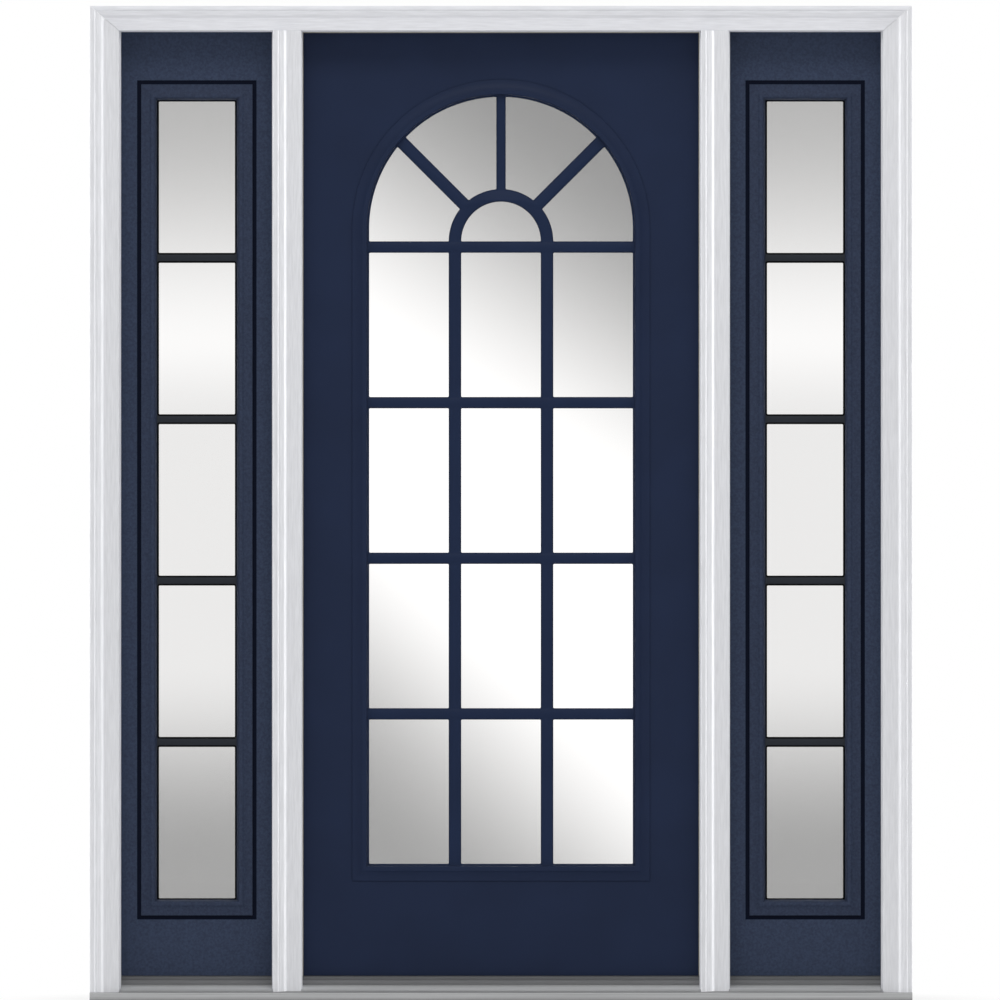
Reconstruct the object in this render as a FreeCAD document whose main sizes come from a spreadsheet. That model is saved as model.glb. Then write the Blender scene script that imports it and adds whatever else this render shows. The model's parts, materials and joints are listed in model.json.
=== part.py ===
"""A prehung entry door with two fixed sidelights, as a parametric FreeCAD document.

Seen from outside: X runs to the right, Y into the house and Z up. The origin is the middle of the sill's
underside, in the middle of the frame's depth. Lengths are in millimetres.
"""

import FreeCAD, Part
import math
import os
import Sketcher

LEFT = -1
RIGHT = 1
PANES_ACROSS = 3
LEVEL_BARS = 4
RAY_TURN = 45
SIDE_PANES = 5
HINGES = 3
KNUCKLES = 5
SWEEP_FINS = 5

# Driving dimensions: word, millimetres, meaning
SIZES = [
    ("door_width", 857, "width of the swinging leaf"),
    ("door_height", 2007, "height of the swinging leaf"),
    ("door_thick", 44.5, "thickness of the leaf and of the sidelight panels"),
    ("leaf_gap", 5, "gap between the leaf and the frame at the sides and the head"),
    ("edge_bevel", 2.3, "how far the lock edge leans back at its outside corner"),
    ("skin_thick", 2, "thickness of each moulded skin"),
    ("stile_width", 40, "width of each stile of the leaf"),
    ("rail_height", 40, "height of each rail of the leaf"),
    ("jamb_board", 19, "thickness of the jambs behind the rabbet"),
    ("jamb_depth", 116, "depth of the frame through the wall"),
    ("stop_depth", 13, "how far the stops stand out from the rabbets"),
    ("seal_room", 7, "room for the weatherstrip between stop and leaf"),
    ("seal_clear", 1, "gap between the weatherstrip and the leaf"),
    ("seal_show", 1.5, "how far the weatherstrip shows past the stop"),
    ("seal_nose", 3, "width of the weatherstrip's nose"),
    ("seal_ease", 2, "how far the weatherstrip falls away beside its nose"),
    ("panel_width", 343, "width of a sidelight panel"),
    ("panel_gap", 1.5, "gap round a sidelight panel in its rabbets"),
    ("lite_side", 149, "from the leaf's edge to the glass that shows in it, each side"),
    ("lite_rise", 236.5, "from the foot of the leaf up to its glass"),
    ("lite_drop", 144.5, "from the head of the leaf down to the top of the arch"),
    ("side_lite_side", 89.5, "from a sidelight panel's edge to its glass, each side"),
    ("side_lite_rise", 171.5, "from the foot of a sidelight panel up to its glass"),
    ("side_lite_drop", 158, "from the head of a sidelight panel down to its glass"),
    ("lite_frame_width", 36, "width of the moulded frame round the glass"),
    ("lite_frame_proud", 9, "how far the moulded frame stands out from the skin"),
    ("frame_lip", 5, "width of the moulded frame's sloped inner edge"),
    ("crown_ease", 3, "bevel of the frame's crown towards the glass"),
    ("crown_width", 6, "width of the frame's level crown"),
    ("frame_edge", 2.5, "thickness of the frame's outer edge"),
    ("cutout_margin", 14, "how far the cut-out reaches behind the moulded frame"),
    ("frame_clear", 1, "gap between the moulded frame and the cut-out"),
    ("glass_thick", 18, "thickness of the insulating glass"),
    ("glass_bite", 8, "how far the glass reaches behind the moulded frame"),
    ("groove_width", 8.5, "width of the groove round a sidelight's moulded frame"),
    ("groove_depth", 3, "depth of that groove"),
    ("bar_height", 9, "how far the glazing bars stand out from the glass"),
    ("bar_bevel", 3, "bevel of each side of a glazing bar"),
    ("post_bar", 26.5, "width of the upright bars, the fan's arc and its slanted rays"),
    ("rail_bar", 24, "width of the level bars of the leaf"),
    ("ray_bar", 20, "width of the fan's upright ray"),
    ("side_bar", 21, "width of the level bars of a sidelight"),
    ("fan_drop", 27, "how far the fan's centre lies below the centre of the arch"),
    ("casing_width", 61.5, "width of the side casings"),
    ("head_casing_width", 52, "width of the head casing"),
    ("mull_casing_width", 58, "width of the casings on the mullions"),
    ("casing_band", 9.5, "width of a side casing's outer band"),
    ("casing_scoop", 6.5, "width of the hollow beside the band"),
    ("casing_fillet", 4.5, "width of the fillet beside the hollow"),
    ("casing_quirk", 2, "width of the groove beside the fillet"),
    ("casing_bead", 8, "width of the bead beside the groove"),
    ("band_thick", 26, "thickness of a casing at its band and fillet"),
    ("casing_flat", 22, "thickness of a casing at its flat"),
    ("casing_thick", 32, "thickness of a casing at the crest of its bead"),
    ("scoop_deep", 3, "depth of the hollow"),
    ("quirk_deep", 2.5, "depth of the groove beside the bead"),
    ("bead_swell", 3.2, "height of the bead's curve"),
    ("casing_ease", 1.5, "easing of a casing's long edges"),
    ("reveal_side", 4, "jamb edge that shows beside a side casing"),
    ("reveal_head", 2, "jamb edge that shows under the head casing"),
    ("nosing_reach", 42, "how far the sill stands out from the frame"),
    ("nosing_height", 16.7, "height of the sill's nosing"),
    ("nosing_depth", 8, "depth of the nosing's flat top"),
    ("nosing_round", 3, "radius of the nosing's front edge"),
    ("tread_groove", 1.5, "width and depth of the groove between nosing and tread"),
    ("deck_thick", 2, "wall of the extruded sill deck"),
    ("tread_low", 18, "height of the tread at its outer edge"),
    ("tread_high", 31.5, "height of the tread at the dam"),
    ("dam_width", 12.5, "width of the dam behind the tread"),
    ("base_height", 34, "height of the sill's base under the caps"),
    ("cap_top", 42.5, "height of the threshold caps"),
    ("cap_ease", 2, "easing of the caps' top edges"),
    ("sill_clear", 5, "gap between the sweep and the threshold cap"),
    ("sweep_thick", 3, "thickness of the sweep under the leaf"),
    ("sweep_web", 1, "thickness of the sweep between its fins"),
    ("sweep_tongue", 8, "height of the sweep's tongue in the bottom rail"),
    ("tongue_thick", 3, "thickness of the sweep's tongue"),
    ("hinge_height", 100, "height of a hinge"),
    ("hinge_plate", 3, "thickness of a hinge plate"),
    ("hinge_reach", 32, "width of a hinge plate in its mortise"),
    ("hinge_high", 178, "distance from the head of the leaf to its top hinge"),
    ("hinge_low", 279, "distance from the foot of the leaf to its bottom hinge"),
    ("knuckle_radius", 8, "radius of the hinge knuckles"),
    ("knuckle_gap", 0.5, "gap between two knuckles"),
    ("pin_radius", 3, "radius of the hinge pins"),
    ("pin_clear", 0.05, "gap between pin and knuckle"),
    ("pin_stand", 9, "distance from the inside face of the leaf to the hinge axis"),
    ("pin_head", 5, "radius of a pin's head"),
    ("pin_cap", 3, "height of a pin's head"),
    ("pin_tail", 2, "how far a pin stands out below its hinge"),
    ("pin_wall", 1, "wall left between a pin and the end of its plate"),
]

doc = FreeCAD.newDocument("door_with_sidelights")
sheet = doc.addObject("Spreadsheet::Sheet", "sizes")


class Size:
    """A length as a formula on the sheet's cells, with the number that it gives now."""

    def __init__(self, formula, number):
        self.formula = formula
        self.number = number

    def join(self, sign, other, number):
        return Size("(%s %s %s)" % (self.formula, sign, as_size(other).formula), number)

    def __add__(self, other):
        return self.join("+", other, self.number + as_size(other).number)

    def __sub__(self, other):
        return self.join("-", other, self.number - as_size(other).number)

    def __mul__(self, other):
        return self.join("*", other, self.number * as_size(other).number)

    def __truediv__(self, other):
        return self.join("/", other, self.number / as_size(other).number)

    def __neg__(self):
        return self * -1


def as_size(value):
    """A plain number as a Size, and a Size as it is."""
    return value if isinstance(value, Size) else Size("(%.9g)" % value, value)


def fill_sheet():
    """Writes the driving dimensions into the sheet and returns each as a Size, by its word."""
    words = {}
    for row, (word, number, meaning) in enumerate(SIZES, 1):
        sheet.set("A%d" % row, meaning)
        sheet.set("B%d" % row, str(number))
        sheet.setAlias("B%d" % row, word)
        words[word] = Size("sizes." + word, number)
    doc.recompute()
    return words


s = fill_sheet()
ZERO = as_size(0)

# Places across the unit, from its middle
rabbet_face = s["door_width"] / 2 + s["leaf_gap"]
stop_edge = rabbet_face - s["stop_depth"]
mull_back = rabbet_face + s["jamb_board"] * 2
mull_edge = mull_back + s["stop_depth"]
mull_middle = rabbet_face + s["jamb_board"]
panel_middle = mull_back + s["panel_gap"] + s["panel_width"] / 2
side_rabbet = mull_back + s["panel_width"] + s["panel_gap"] * 2
side_stop = side_rabbet - s["stop_depth"]
jamb_outside = side_rabbet + s["jamb_board"]
casing_inside = side_stop + s["reveal_side"]
casing_outside = casing_inside + s["casing_width"]

# Places through the wall, from the middle of the frame
frame_front = -s["jamb_depth"] / 2
frame_back = s["jamb_depth"] / 2
leaf_front = frame_back - s["door_thick"]
leaf_middle = frame_back - s["door_thick"] / 2
stop_face = leaf_front - s["seal_room"]
panel_plane = stop_face + s["door_thick"] / 2
nosing_front = frame_front - s["nosing_reach"]
dam_front = stop_face - s["dam_width"]

# Heights above the sill's underside
leaf_foot = s["cap_top"] + s["sill_clear"] + s["sweep_thick"]
dam_top = leaf_foot
head_rabbet = leaf_foot + s["door_height"] + s["leaf_gap"]
head_stop = head_rabbet - s["stop_depth"]
frame_top = head_rabbet + s["jamb_board"]
head_casing_foot = head_stop + s["reveal_head"]
casing_top = head_casing_foot + s["head_casing_width"]
panel_top = head_rabbet - s["panel_gap"]

# The glass that shows, from the foot of its own leaf or panel
lite_half = s["door_width"] / 2 - s["lite_side"]
lite_spring = s["door_height"] - s["lite_drop"] - lite_half
fan_centre = lite_spring - s["fan_drop"]
side_lite_half = s["panel_width"] / 2 - s["side_lite_side"]
side_lite_top = panel_top - s["cap_top"] - s["side_lite_drop"]


def new_body(label, place=None, turned=False):
    """A body of its own for one piece, moved to place and, if turned, faced the other way about."""
    body = doc.addObject("PartDesign::Body", label)
    body.Label = label
    if turned:
        body.Placement = FreeCAD.Placement(FreeCAD.Vector(), FreeCAD.Rotation(FreeCAD.Vector(0, 0, 1), 180))
    for axis, length in zip("xyz", place or ()):
        body.setExpression(".Placement.Base." + axis, length.formula)
    return body


def origin_feature(body, role):
    """The plane or axis of the body's own origin with this role."""
    return [feature for feature in body.Origin.OriginFeatures if feature.Role == role][0]


def draw_loop(sketch, corners):
    """Adds one closed loop of lines and arcs. A corner is (across, up), or (across, up, centre across,
    centre up) where an arc leads to it the short way round, or the same with True at its end where a half
    circle leads to it counter-clockwise."""
    half_round = [len(corner) == 5 for corner in corners]
    corners = [tuple(as_size(v) for v in corner[:4]) for corner in corners]
    starts = []
    for index, corner in enumerate(corners):
        before = corners[index - 1]
        begin = FreeCAD.Vector(before[0].number, before[1].number, 0)
        end = FreeCAD.Vector(corner[0].number, corner[1].number, 0)
        if len(corner) == 2:
            starts.append((sketch.addGeometry(Part.LineSegment(begin, end), False), 1, 2))
            continue
        centre = FreeCAD.Vector(corner[2].number, corner[3].number, 0)
        onward = half_round[index] or (begin - centre).cross(end - centre).z > 0
        first, last = (begin, end) if onward else (end, begin)
        turns = [math.atan2(p.y - centre.y, p.x - centre.x) for p in (first, last)]
        circle = Part.Circle(centre, FreeCAD.Vector(0, 0, 1), (begin - centre).Length)
        arc = sketch.addGeometry(Part.ArcOfCircle(circle, turns[0], turns[1]), False)
        starts.append((arc, 1, 2) if onward else (arc, 2, 1))
        level_chord = abs(end.x - begin.x) >= abs(end.y - begin.y)
        kind, length = ("DistanceY", corner[3]) if level_chord else ("DistanceX", corner[2])
        tie(sketch, kind, arc, 3, length)
    for index, (edge, begin_end, far_end) in enumerate(starts):
        after = starts[(index + 1) % len(starts)]
        sketch.addConstraint(Sketcher.Constraint("Coincident", edge, far_end, after[0], after[1]))
        tie(sketch, "DistanceX", edge, far_end, corners[index][0])
        tie(sketch, "DistanceY", edge, far_end, corners[index][1])


def tie(sketch, kind, edge, point, length):
    """Holds one coordinate of a point of the sketch to a formula."""
    number = sketch.addConstraint(Sketcher.Constraint(kind, edge, point, float(length.number)))
    sketch.setExpression("Constraints[%d]" % number, length.formula)


def draw(body, name, role, loops, lift=ZERO):
    """A sketch of closed loops on one of the body's own planes, lifted along the plane's axis."""
    sketch = body.newObject("Sketcher::SketchObject", name)
    sketch.AttachmentSupport = [(origin_feature(body, role), "")]
    sketch.MapMode = "FlatFace"
    sketch.setExpression(".AttachmentOffset.Base.z", (-lift if role == "XZ_Plane" else lift).formula)
    for corners in loops:
        draw_loop(sketch, corners)
    return sketch


def extrude(body, name, role, loops, start, end, cut=False):
    """Adds, or cuts, the loops from start to end along the axis that crosses their plane."""
    backward = role == "XZ_Plane"
    sketch = draw(body, name + "_sketch", role, loops, end if backward else start)
    feature = body.newObject("PartDesign::Pocket" if cut else "PartDesign::Pad", name)
    feature.Profile = sketch
    feature.Reversed = cut
    feature.setExpression("Length", (end - start).formula)
    sketch.Visibility = False
    return feature


def revolve(body, name, role, loops, axis, degrees=360, backward=False, lift=ZERO):
    """Turns the loops about an axis of their sketch or of the body."""
    sketch = draw(body, name + "_sketch", role, loops, lift)
    feature = body.newObject("PartDesign::Revolution", name)
    feature.Profile = sketch
    feature.ReferenceAxis = (sketch, ["V_Axis"]) if axis == "V_Axis" else (origin_feature(body, axis), [""])
    feature.Angle = degrees
    feature.Reversed = backward
    sketch.Visibility = False
    return feature


def box_loop(left, low, right, high):
    return [(left, low), (right, low), (right, high), (left, high)]


def arch_loop(half_width, low, spring):
    """A doorway outline: straight sides and a half round on the spring line."""
    return [
        (-half_width, low),
        (half_width, low),
        (half_width, spring),
        (-half_width, spring, ZERO, spring, True),
    ]


def sill_line():
    """The sill's top from the nosing's front edge to the back of the dam, in Y and Z."""
    tread_front = nosing_front + s["nosing_depth"] + s["tread_groove"]
    return [
        (tread_front, s["tread_low"]),
        (dam_front, s["tread_high"]),
        (dam_front, dam_top),
        (stop_face, dam_top),
    ]


def cope_to_sill(body):
    """Cuts the foot of an upright to the sill's tread and dam."""
    below = -s["base_height"]
    loop = sill_line() + [(stop_face, below), (nosing_front, below), (nosing_front, s["tread_low"])]
    extrude(body, "cope", "YZ_Plane", [loop], -casing_outside, casing_outside, cut=True)


def cap_loop(back):
    """A threshold cap's section, with its top edges eased."""
    ease = s["cap_ease"]
    return [
        (stop_face, s["base_height"]),
        (stop_face, s["cap_top"] - ease),
        (stop_face + ease, s["cap_top"]),
        (back - ease, s["cap_top"]),
        (back, s["cap_top"] - ease),
        (back, s["base_height"]),
    ]


def make_sill():
    line = sill_line()
    wall = s["deck_thick"]
    round_off = s["nosing_round"]
    nose_top = s["nosing_height"]
    nose_flat = nosing_front + s["nosing_depth"]
    groove_floor = nose_top - s["tread_groove"]
    under_front = nosing_front + wall
    nose = [
        (nosing_front, nose_top - round_off),
        (nosing_front + round_off, nose_top, nosing_front + round_off, nose_top - round_off),
    ]
    inside = [
        (under_front, ZERO),
        (under_front, groove_floor - wall),
        (line[0][0] + wall, groove_floor - wall),
        (line[0][0] + wall, s["tread_low"] - wall),
        (dam_front + wall, s["tread_high"] - wall),
    ]
    deck = new_body("sill_deck")
    section = [(nosing_front, ZERO)] + nose + [
        (nose_flat, nose_top),
        (nose_flat, groove_floor),
        (line[0][0], groove_floor),
    ] + line + [
        (stop_face, s["base_height"]),
        (stop_face - wall, s["base_height"]),
        (stop_face - wall, dam_top - wall),
        (dam_front + wall, dam_top - wall),
    ] + inside[::-1]
    extrude(deck, "deck", "YZ_Plane", [section], -side_stop, side_stop)
    horn = [(nosing_front, ZERO)] + nose + [(frame_front, nose_top), (frame_front, ZERO)]
    extrude(deck, "left_horn", "YZ_Plane", [horn], -casing_outside, -side_stop)
    extrude(deck, "right_horn", "YZ_Plane", [horn], side_stop, casing_outside)

    base = new_body("sill_base")
    front = inside + [
        (dam_front + wall, s["base_height"]),
        (stop_face, s["base_height"]),
        (stop_face, ZERO),
    ]
    extrude(base, "front", "YZ_Plane", [front], -side_stop, side_stop)
    back = box_loop(stop_face, ZERO, frame_back, s["base_height"])
    extrude(base, "back", "YZ_Plane", [back], -side_rabbet, side_rabbet)

    door_cap = new_body("threshold_cap")
    extrude(door_cap, "cap", "YZ_Plane", [cap_loop(frame_back)], -rabbet_face, rabbet_face)

    side_caps = new_body("sidelight_caps")
    cap = cap_loop(stop_face + s["door_thick"])
    extrude(side_caps, "left_cap", "YZ_Plane", [cap], -side_rabbet, -mull_back)
    extrude(side_caps, "right_cap", "YZ_Plane", [cap], mull_back, side_rabbet)
    return [deck, base, door_cap, side_caps]


def make_jamb(label, side):
    """A rabbeted side jamb: the board to the top, the stop to the head's stop."""
    jamb = new_body(label)
    board = box_loop(side_rabbet * side, frame_front, jamb_outside * side, frame_back)
    extrude(jamb, "board", "XY_Plane", [board], ZERO, frame_top)
    stop = box_loop(side_stop * side, frame_front, side_rabbet * side, stop_face)
    extrude(jamb, "stop", "XY_Plane", [stop], ZERO, head_stop)
    return jamb


def make_head():
    head = new_body("head_jamb")
    section = [
        (frame_front, head_stop),
        (stop_face, head_stop),
        (stop_face, head_rabbet),
        (frame_back, head_rabbet),
        (frame_back, frame_top),
        (frame_front, frame_top),
    ]
    extrude(head, "board", "YZ_Plane", [section], -side_rabbet, side_rabbet)
    return head


def hinge_feet():
    """The heights of the hinges' lower ends above the foot of the leaf."""
    lowest = s["hinge_low"]
    highest = s["door_height"] - s["hinge_high"] - s["hinge_height"]
    return [lowest + (highest - lowest) / (HINGES - 1) * number for number in range(HINGES)]


def cut_mortises(body, near, far, front, back, foot):
    """Cuts the three hinge mortises between near and far across, and front and back through the wall."""
    loops = [box_loop(front, foot + z, back, foot + z + s["hinge_height"]) for z in hinge_feet()]
    extrude(body, "mortises", "YZ_Plane", loops, near, far, cut=True)


def make_mullion(label, side):
    """A post rabbeted on both faces, standing on the sill."""
    post = new_body(label)
    front = box_loop(stop_edge * side, frame_front, mull_edge * side, stop_face)
    extrude(post, "front", "XY_Plane", [front], ZERO, head_stop)
    back = box_loop(rabbet_face * side, stop_face, mull_back * side, frame_back)
    extrude(post, "back", "XY_Plane", [back], s["base_height"], head_rabbet)
    cope_to_sill(post)
    if side == LEFT:
        near = -rabbet_face - s["hinge_plate"]
        cut_mortises(post, near, -rabbet_face, frame_back - s["hinge_reach"], frame_back, leaf_foot)
    return post


def casing_section(outside, inward, width, turned):
    """The moulded casing, from its outer edge inwards: a band, a hollow, a fillet, a groove, a bead and a
    flat. A casing of another width keeps each depth and its share of every width, so that mitres meet."""
    share = width / s["casing_width"] * inward
    band_end = s["casing_band"]
    scoop_end = band_end + s["casing_scoop"]
    fillet_end = scoop_end + s["casing_fillet"]
    quirk_end = fillet_end + s["casing_quirk"]
    bead_end = quirk_end + s["casing_bead"]
    flat_end = s["casing_width"]
    ease = s["casing_ease"]
    band = frame_front - s["band_thick"]
    flat = frame_front - s["casing_flat"]
    bead_foot = frame_front - s["casing_thick"] + s["bead_swell"]

    def curve(start, stop, depth, swell):
        """The end of an arc from start to stop at one depth, whose middle stands out by swell."""
        half = (stop - start) * width / s["casing_width"] / 2
        centre = depth + (half * half - swell * swell) / (swell * 2)
        return (stop, depth, (start + stop) / 2, centre)

    points = [
        (ZERO, frame_front),
        (ZERO, band + ease),
        (ease, band),
        (band_end, band),
        curve(band_end, scoop_end, band, -s["scoop_deep"]),
        (fillet_end, band),
        (fillet_end, band + s["quirk_deep"]),
        (quirk_end, band + s["quirk_deep"]),
        (quirk_end, bead_foot),
        curve(quirk_end, bead_end, bead_foot, s["bead_swell"]),
        (bead_end, flat),
        (flat_end - ease, flat),
        (flat_end, flat + ease),
        (flat_end, frame_front),
    ]
    section = []
    for point in points:
        places = []
        for across, depth in zip(point[::2], point[1::2]):
            places += [depth, outside + across * share] if turned else [outside + across * share, depth]
        section.append(tuple(places))
    return section


def make_side_casing(label, side):
    casing = new_body(label)
    loop = casing_section(casing_outside * side, -side, s["casing_width"], False)
    extrude(casing, "moulding", "XY_Plane", [loop], s["nosing_height"], casing_top)
    mitre = [
        (casing_outside * side, casing_top),
        (casing_inside * side, head_casing_foot),
        (casing_inside * side, casing_top),
    ]
    extrude(casing, "mitre", "XZ_Plane", [mitre], frame_front * 2, ZERO, cut=True)
    return casing


def make_head_casing():
    casing = new_body("head_casing")
    loop = casing_section(casing_top, -1, s["head_casing_width"], True)
    extrude(casing, "moulding", "YZ_Plane", [loop], -casing_outside, casing_outside)
    for name, side in (("left_mitre", LEFT), ("right_mitre", RIGHT)):
        mitre = [
            (casing_outside * side, casing_top),
            (casing_inside * side, head_casing_foot),
            (casing_outside * side, head_casing_foot),
        ]
        extrude(casing, name, "XZ_Plane", [mitre], frame_front * 2, ZERO, cut=True)
    return casing


def make_mull_casing(label, side):
    casing = new_body(label)
    outer = mull_middle * side - s["mull_casing_width"] / 2
    loop = casing_section(outer, 1, s["mull_casing_width"], False)
    extrude(casing, "moulding", "XY_Plane", [loop], ZERO, head_casing_foot)
    cope_to_sill(casing)
    return casing


def make_weatherstrips():
    """A wedge of foam in its sleeve on each stop of the doorway."""
    back = leaf_front - s["seal_clear"]
    strips = []
    for label, side in (("weatherstrip_hinge_side", LEFT), ("weatherstrip_lock_side", RIGHT)):
        strip = new_body(label)
        near = (stop_edge - s["seal_show"]) * side
        far = rabbet_face * side
        loop = [
            (near, stop_face),
            (far, stop_face),
            (far, back - s["seal_ease"]),
            (near + s["seal_nose"] * side, back),
            (near, back - s["seal_ease"]),
        ]
        extrude(strip, "wedge", "XY_Plane", [loop], s["cap_top"], head_stop - s["seal_show"])
        strips.append(strip)
    strip = new_body("weatherstrip_head")
    low = head_stop - s["seal_show"]
    loop = [
        (stop_face, low),
        (stop_face, head_rabbet),
        (back - s["seal_ease"], head_rabbet),
        (back, low + s["seal_nose"]),
        (back - s["seal_ease"], low),
    ]
    extrude(strip, "wedge", "YZ_Plane", [loop], -rabbet_face, rabbet_face)
    strips.append(strip)
    return strips


def lite_section(low):
    """The moulded frame's section below the glass, for a frame whose glass shows from the height low up: a
    lip on the glass as high as the bars, a sloped inner edge, a crown, and a long cove that runs level into
    the flange on the skin. Its arc meets the crown where its radius is drop / 2 + run * run / (drop * 2)."""
    glass = -s["glass_thick"] / 2
    skin = -s["door_thick"] / 2
    proud = skin - s["lite_frame_proud"]
    flange = skin - s["frame_edge"]
    crown_start = low - s["frame_lip"] - s["crown_ease"]
    crown_end = crown_start - s["crown_width"]
    edge = low - s["lite_frame_width"]
    drop = flange - proud
    run = crown_end - edge
    cove_radius = drop / 2 + run * run / (drop * 2)
    leg = low - s["cutout_margin"] + s["frame_clear"]
    return [
        (glass, low),
        (glass - s["bar_height"], low),
        (proud + s["crown_ease"], low - s["frame_lip"]),
        (proud, crown_start),
        (proud, crown_end),
        (flange, edge, flange - cove_radius, edge),
        (skin, edge),
        (skin, leg),
        (glass, leg),
    ]


def make_lite_frame(label, place, turned, half_width, low, spring, arched):
    """The section carried round the glass: along the foot, up the sides and over the top."""
    frame = new_body(label, place, turned)
    top = [(-half_width, spring, ZERO, spring, True)] if arched else [(-half_width, spring)]
    path_points = [(half_width, low), (half_width, spring)] + top + [(-half_width, low), (ZERO, low)]
    path = draw(frame, "path", "XZ_Plane", [path_points])
    section = draw(frame, "section", "YZ_Plane", [lite_section(low)])
    sweep = frame.newObject("PartDesign::AdditivePipe", "moulding")
    sweep.Profile = section
    sweep.Spine = (path, ["Edge%d" % (number + 1) for number in range(len(path_points))])
    sweep.Transition = "Right corner"
    path.Visibility = False
    section.Visibility = False
    return frame


def bar_section(middle, width, turned=False):
    """A glazing bar's section on the glass, bevelled on both sides."""
    glass = -s["glass_thick"] / 2
    face = glass - s["bar_height"]
    points = [
        (middle - width / 2, glass),
        (middle + width / 2, glass),
        (middle + width / 2 - s["bar_bevel"], face),
        (middle - width / 2 + s["bar_bevel"], face),
    ]
    return [(depth, across) for across, depth in points] if turned else points


def make_door_grille(label, place, turned):
    """Level bars, two uprights that divide the glass evenly and meet in the fan's arc, and three rays from
    the arc to the arch. The top level bar carries the fan, and the panes under it are equal."""
    grille = new_body(label, place, turned)
    low = s["lite_rise"]
    pitch = (fan_centre - low) / LEVEL_BARS
    levels = [fan_centre - s["rail_bar"] / 2 - pitch * number for number in range(LEVEL_BARS)]
    loops = [bar_section(level, s["rail_bar"], True) for level in levels]
    extrude(grille, "level_bars", "YZ_Plane", loops, -lite_half, lite_half)
    fan_radius = (lite_half * 2 + s["post_bar"]) / PANES_ACROSS / 2
    loops = [bar_section(fan_radius * side, s["post_bar"]) for side in (LEFT, RIGHT)]
    extrude(grille, "upright_bars", "XY_Plane", loops, low, fan_centre)
    loop = bar_section(fan_radius, s["post_bar"])
    revolve(grille, "fan_arc", "XY_Plane", [loop], "V_Axis", 180, True, fan_centre)
    for name, degrees, width in (
        ("left_ray", -RAY_TURN, s["post_bar"]),
        ("upright_ray", 0, s["ray_bar"]),
        ("right_ray", RAY_TURN, s["post_bar"]),
    ):
        turn = math.radians(degrees)
        ray = extrude(grille, name, "XY_Plane", [bar_section(ZERO, width)], ZERO, lite_half)
        ray_sketch = ray.Profile[0]
        rotation = FreeCAD.Rotation(FreeCAD.Vector(0, 1, 0), degrees)
        ray_sketch.AttachmentOffset = FreeCAD.Placement(FreeCAD.Vector(), rotation)
        across = fan_radius * math.sin(turn)
        up = fan_centre + fan_radius * math.cos(turn)
        ray_sketch.setExpression(".AttachmentOffset.Base.x", across.formula)
        ray_sketch.setExpression(".AttachmentOffset.Base.z", up.formula)
    around = box_loop(-s["door_width"], -s["door_height"], s["door_width"], s["door_height"] * 2)
    trim = [around, arch_loop(lite_half, low, lite_spring)]
    extrude(grille, "trim", "XZ_Plane", trim, -s["door_thick"], s["door_thick"], cut=True)
    return grille


def make_side_grille(label, place, turned):
    grille = new_body(label, place, turned)
    low = s["side_lite_rise"]
    pitch = (side_lite_top - low + s["side_bar"]) / SIDE_PANES
    levels = [low - s["side_bar"] / 2 + pitch * number for number in range(1, SIDE_PANES)]
    loops = [bar_section(level, s["side_bar"], True) for level in levels]
    extrude(grille, "level_bars", "YZ_Plane", loops, -side_lite_half, side_lite_half)
    return grille


def sweep_loop(half_thick):
    """The sweep's section: a thin web with pointed fins along its underside."""
    web = -s["sweep_web"]
    fin = half_thick * 2 / SWEEP_FINS
    loop = [(-half_thick, ZERO), (-half_thick, web)]
    for number in range(SWEEP_FINS):
        start = -half_thick + fin * number
        loop += [(start + fin / 4, web), (start + fin / 2, -s["sweep_thick"]), (start + fin * 3 / 4, web)]
    return loop + [(half_thick, web), (half_thick, ZERO)]


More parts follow.
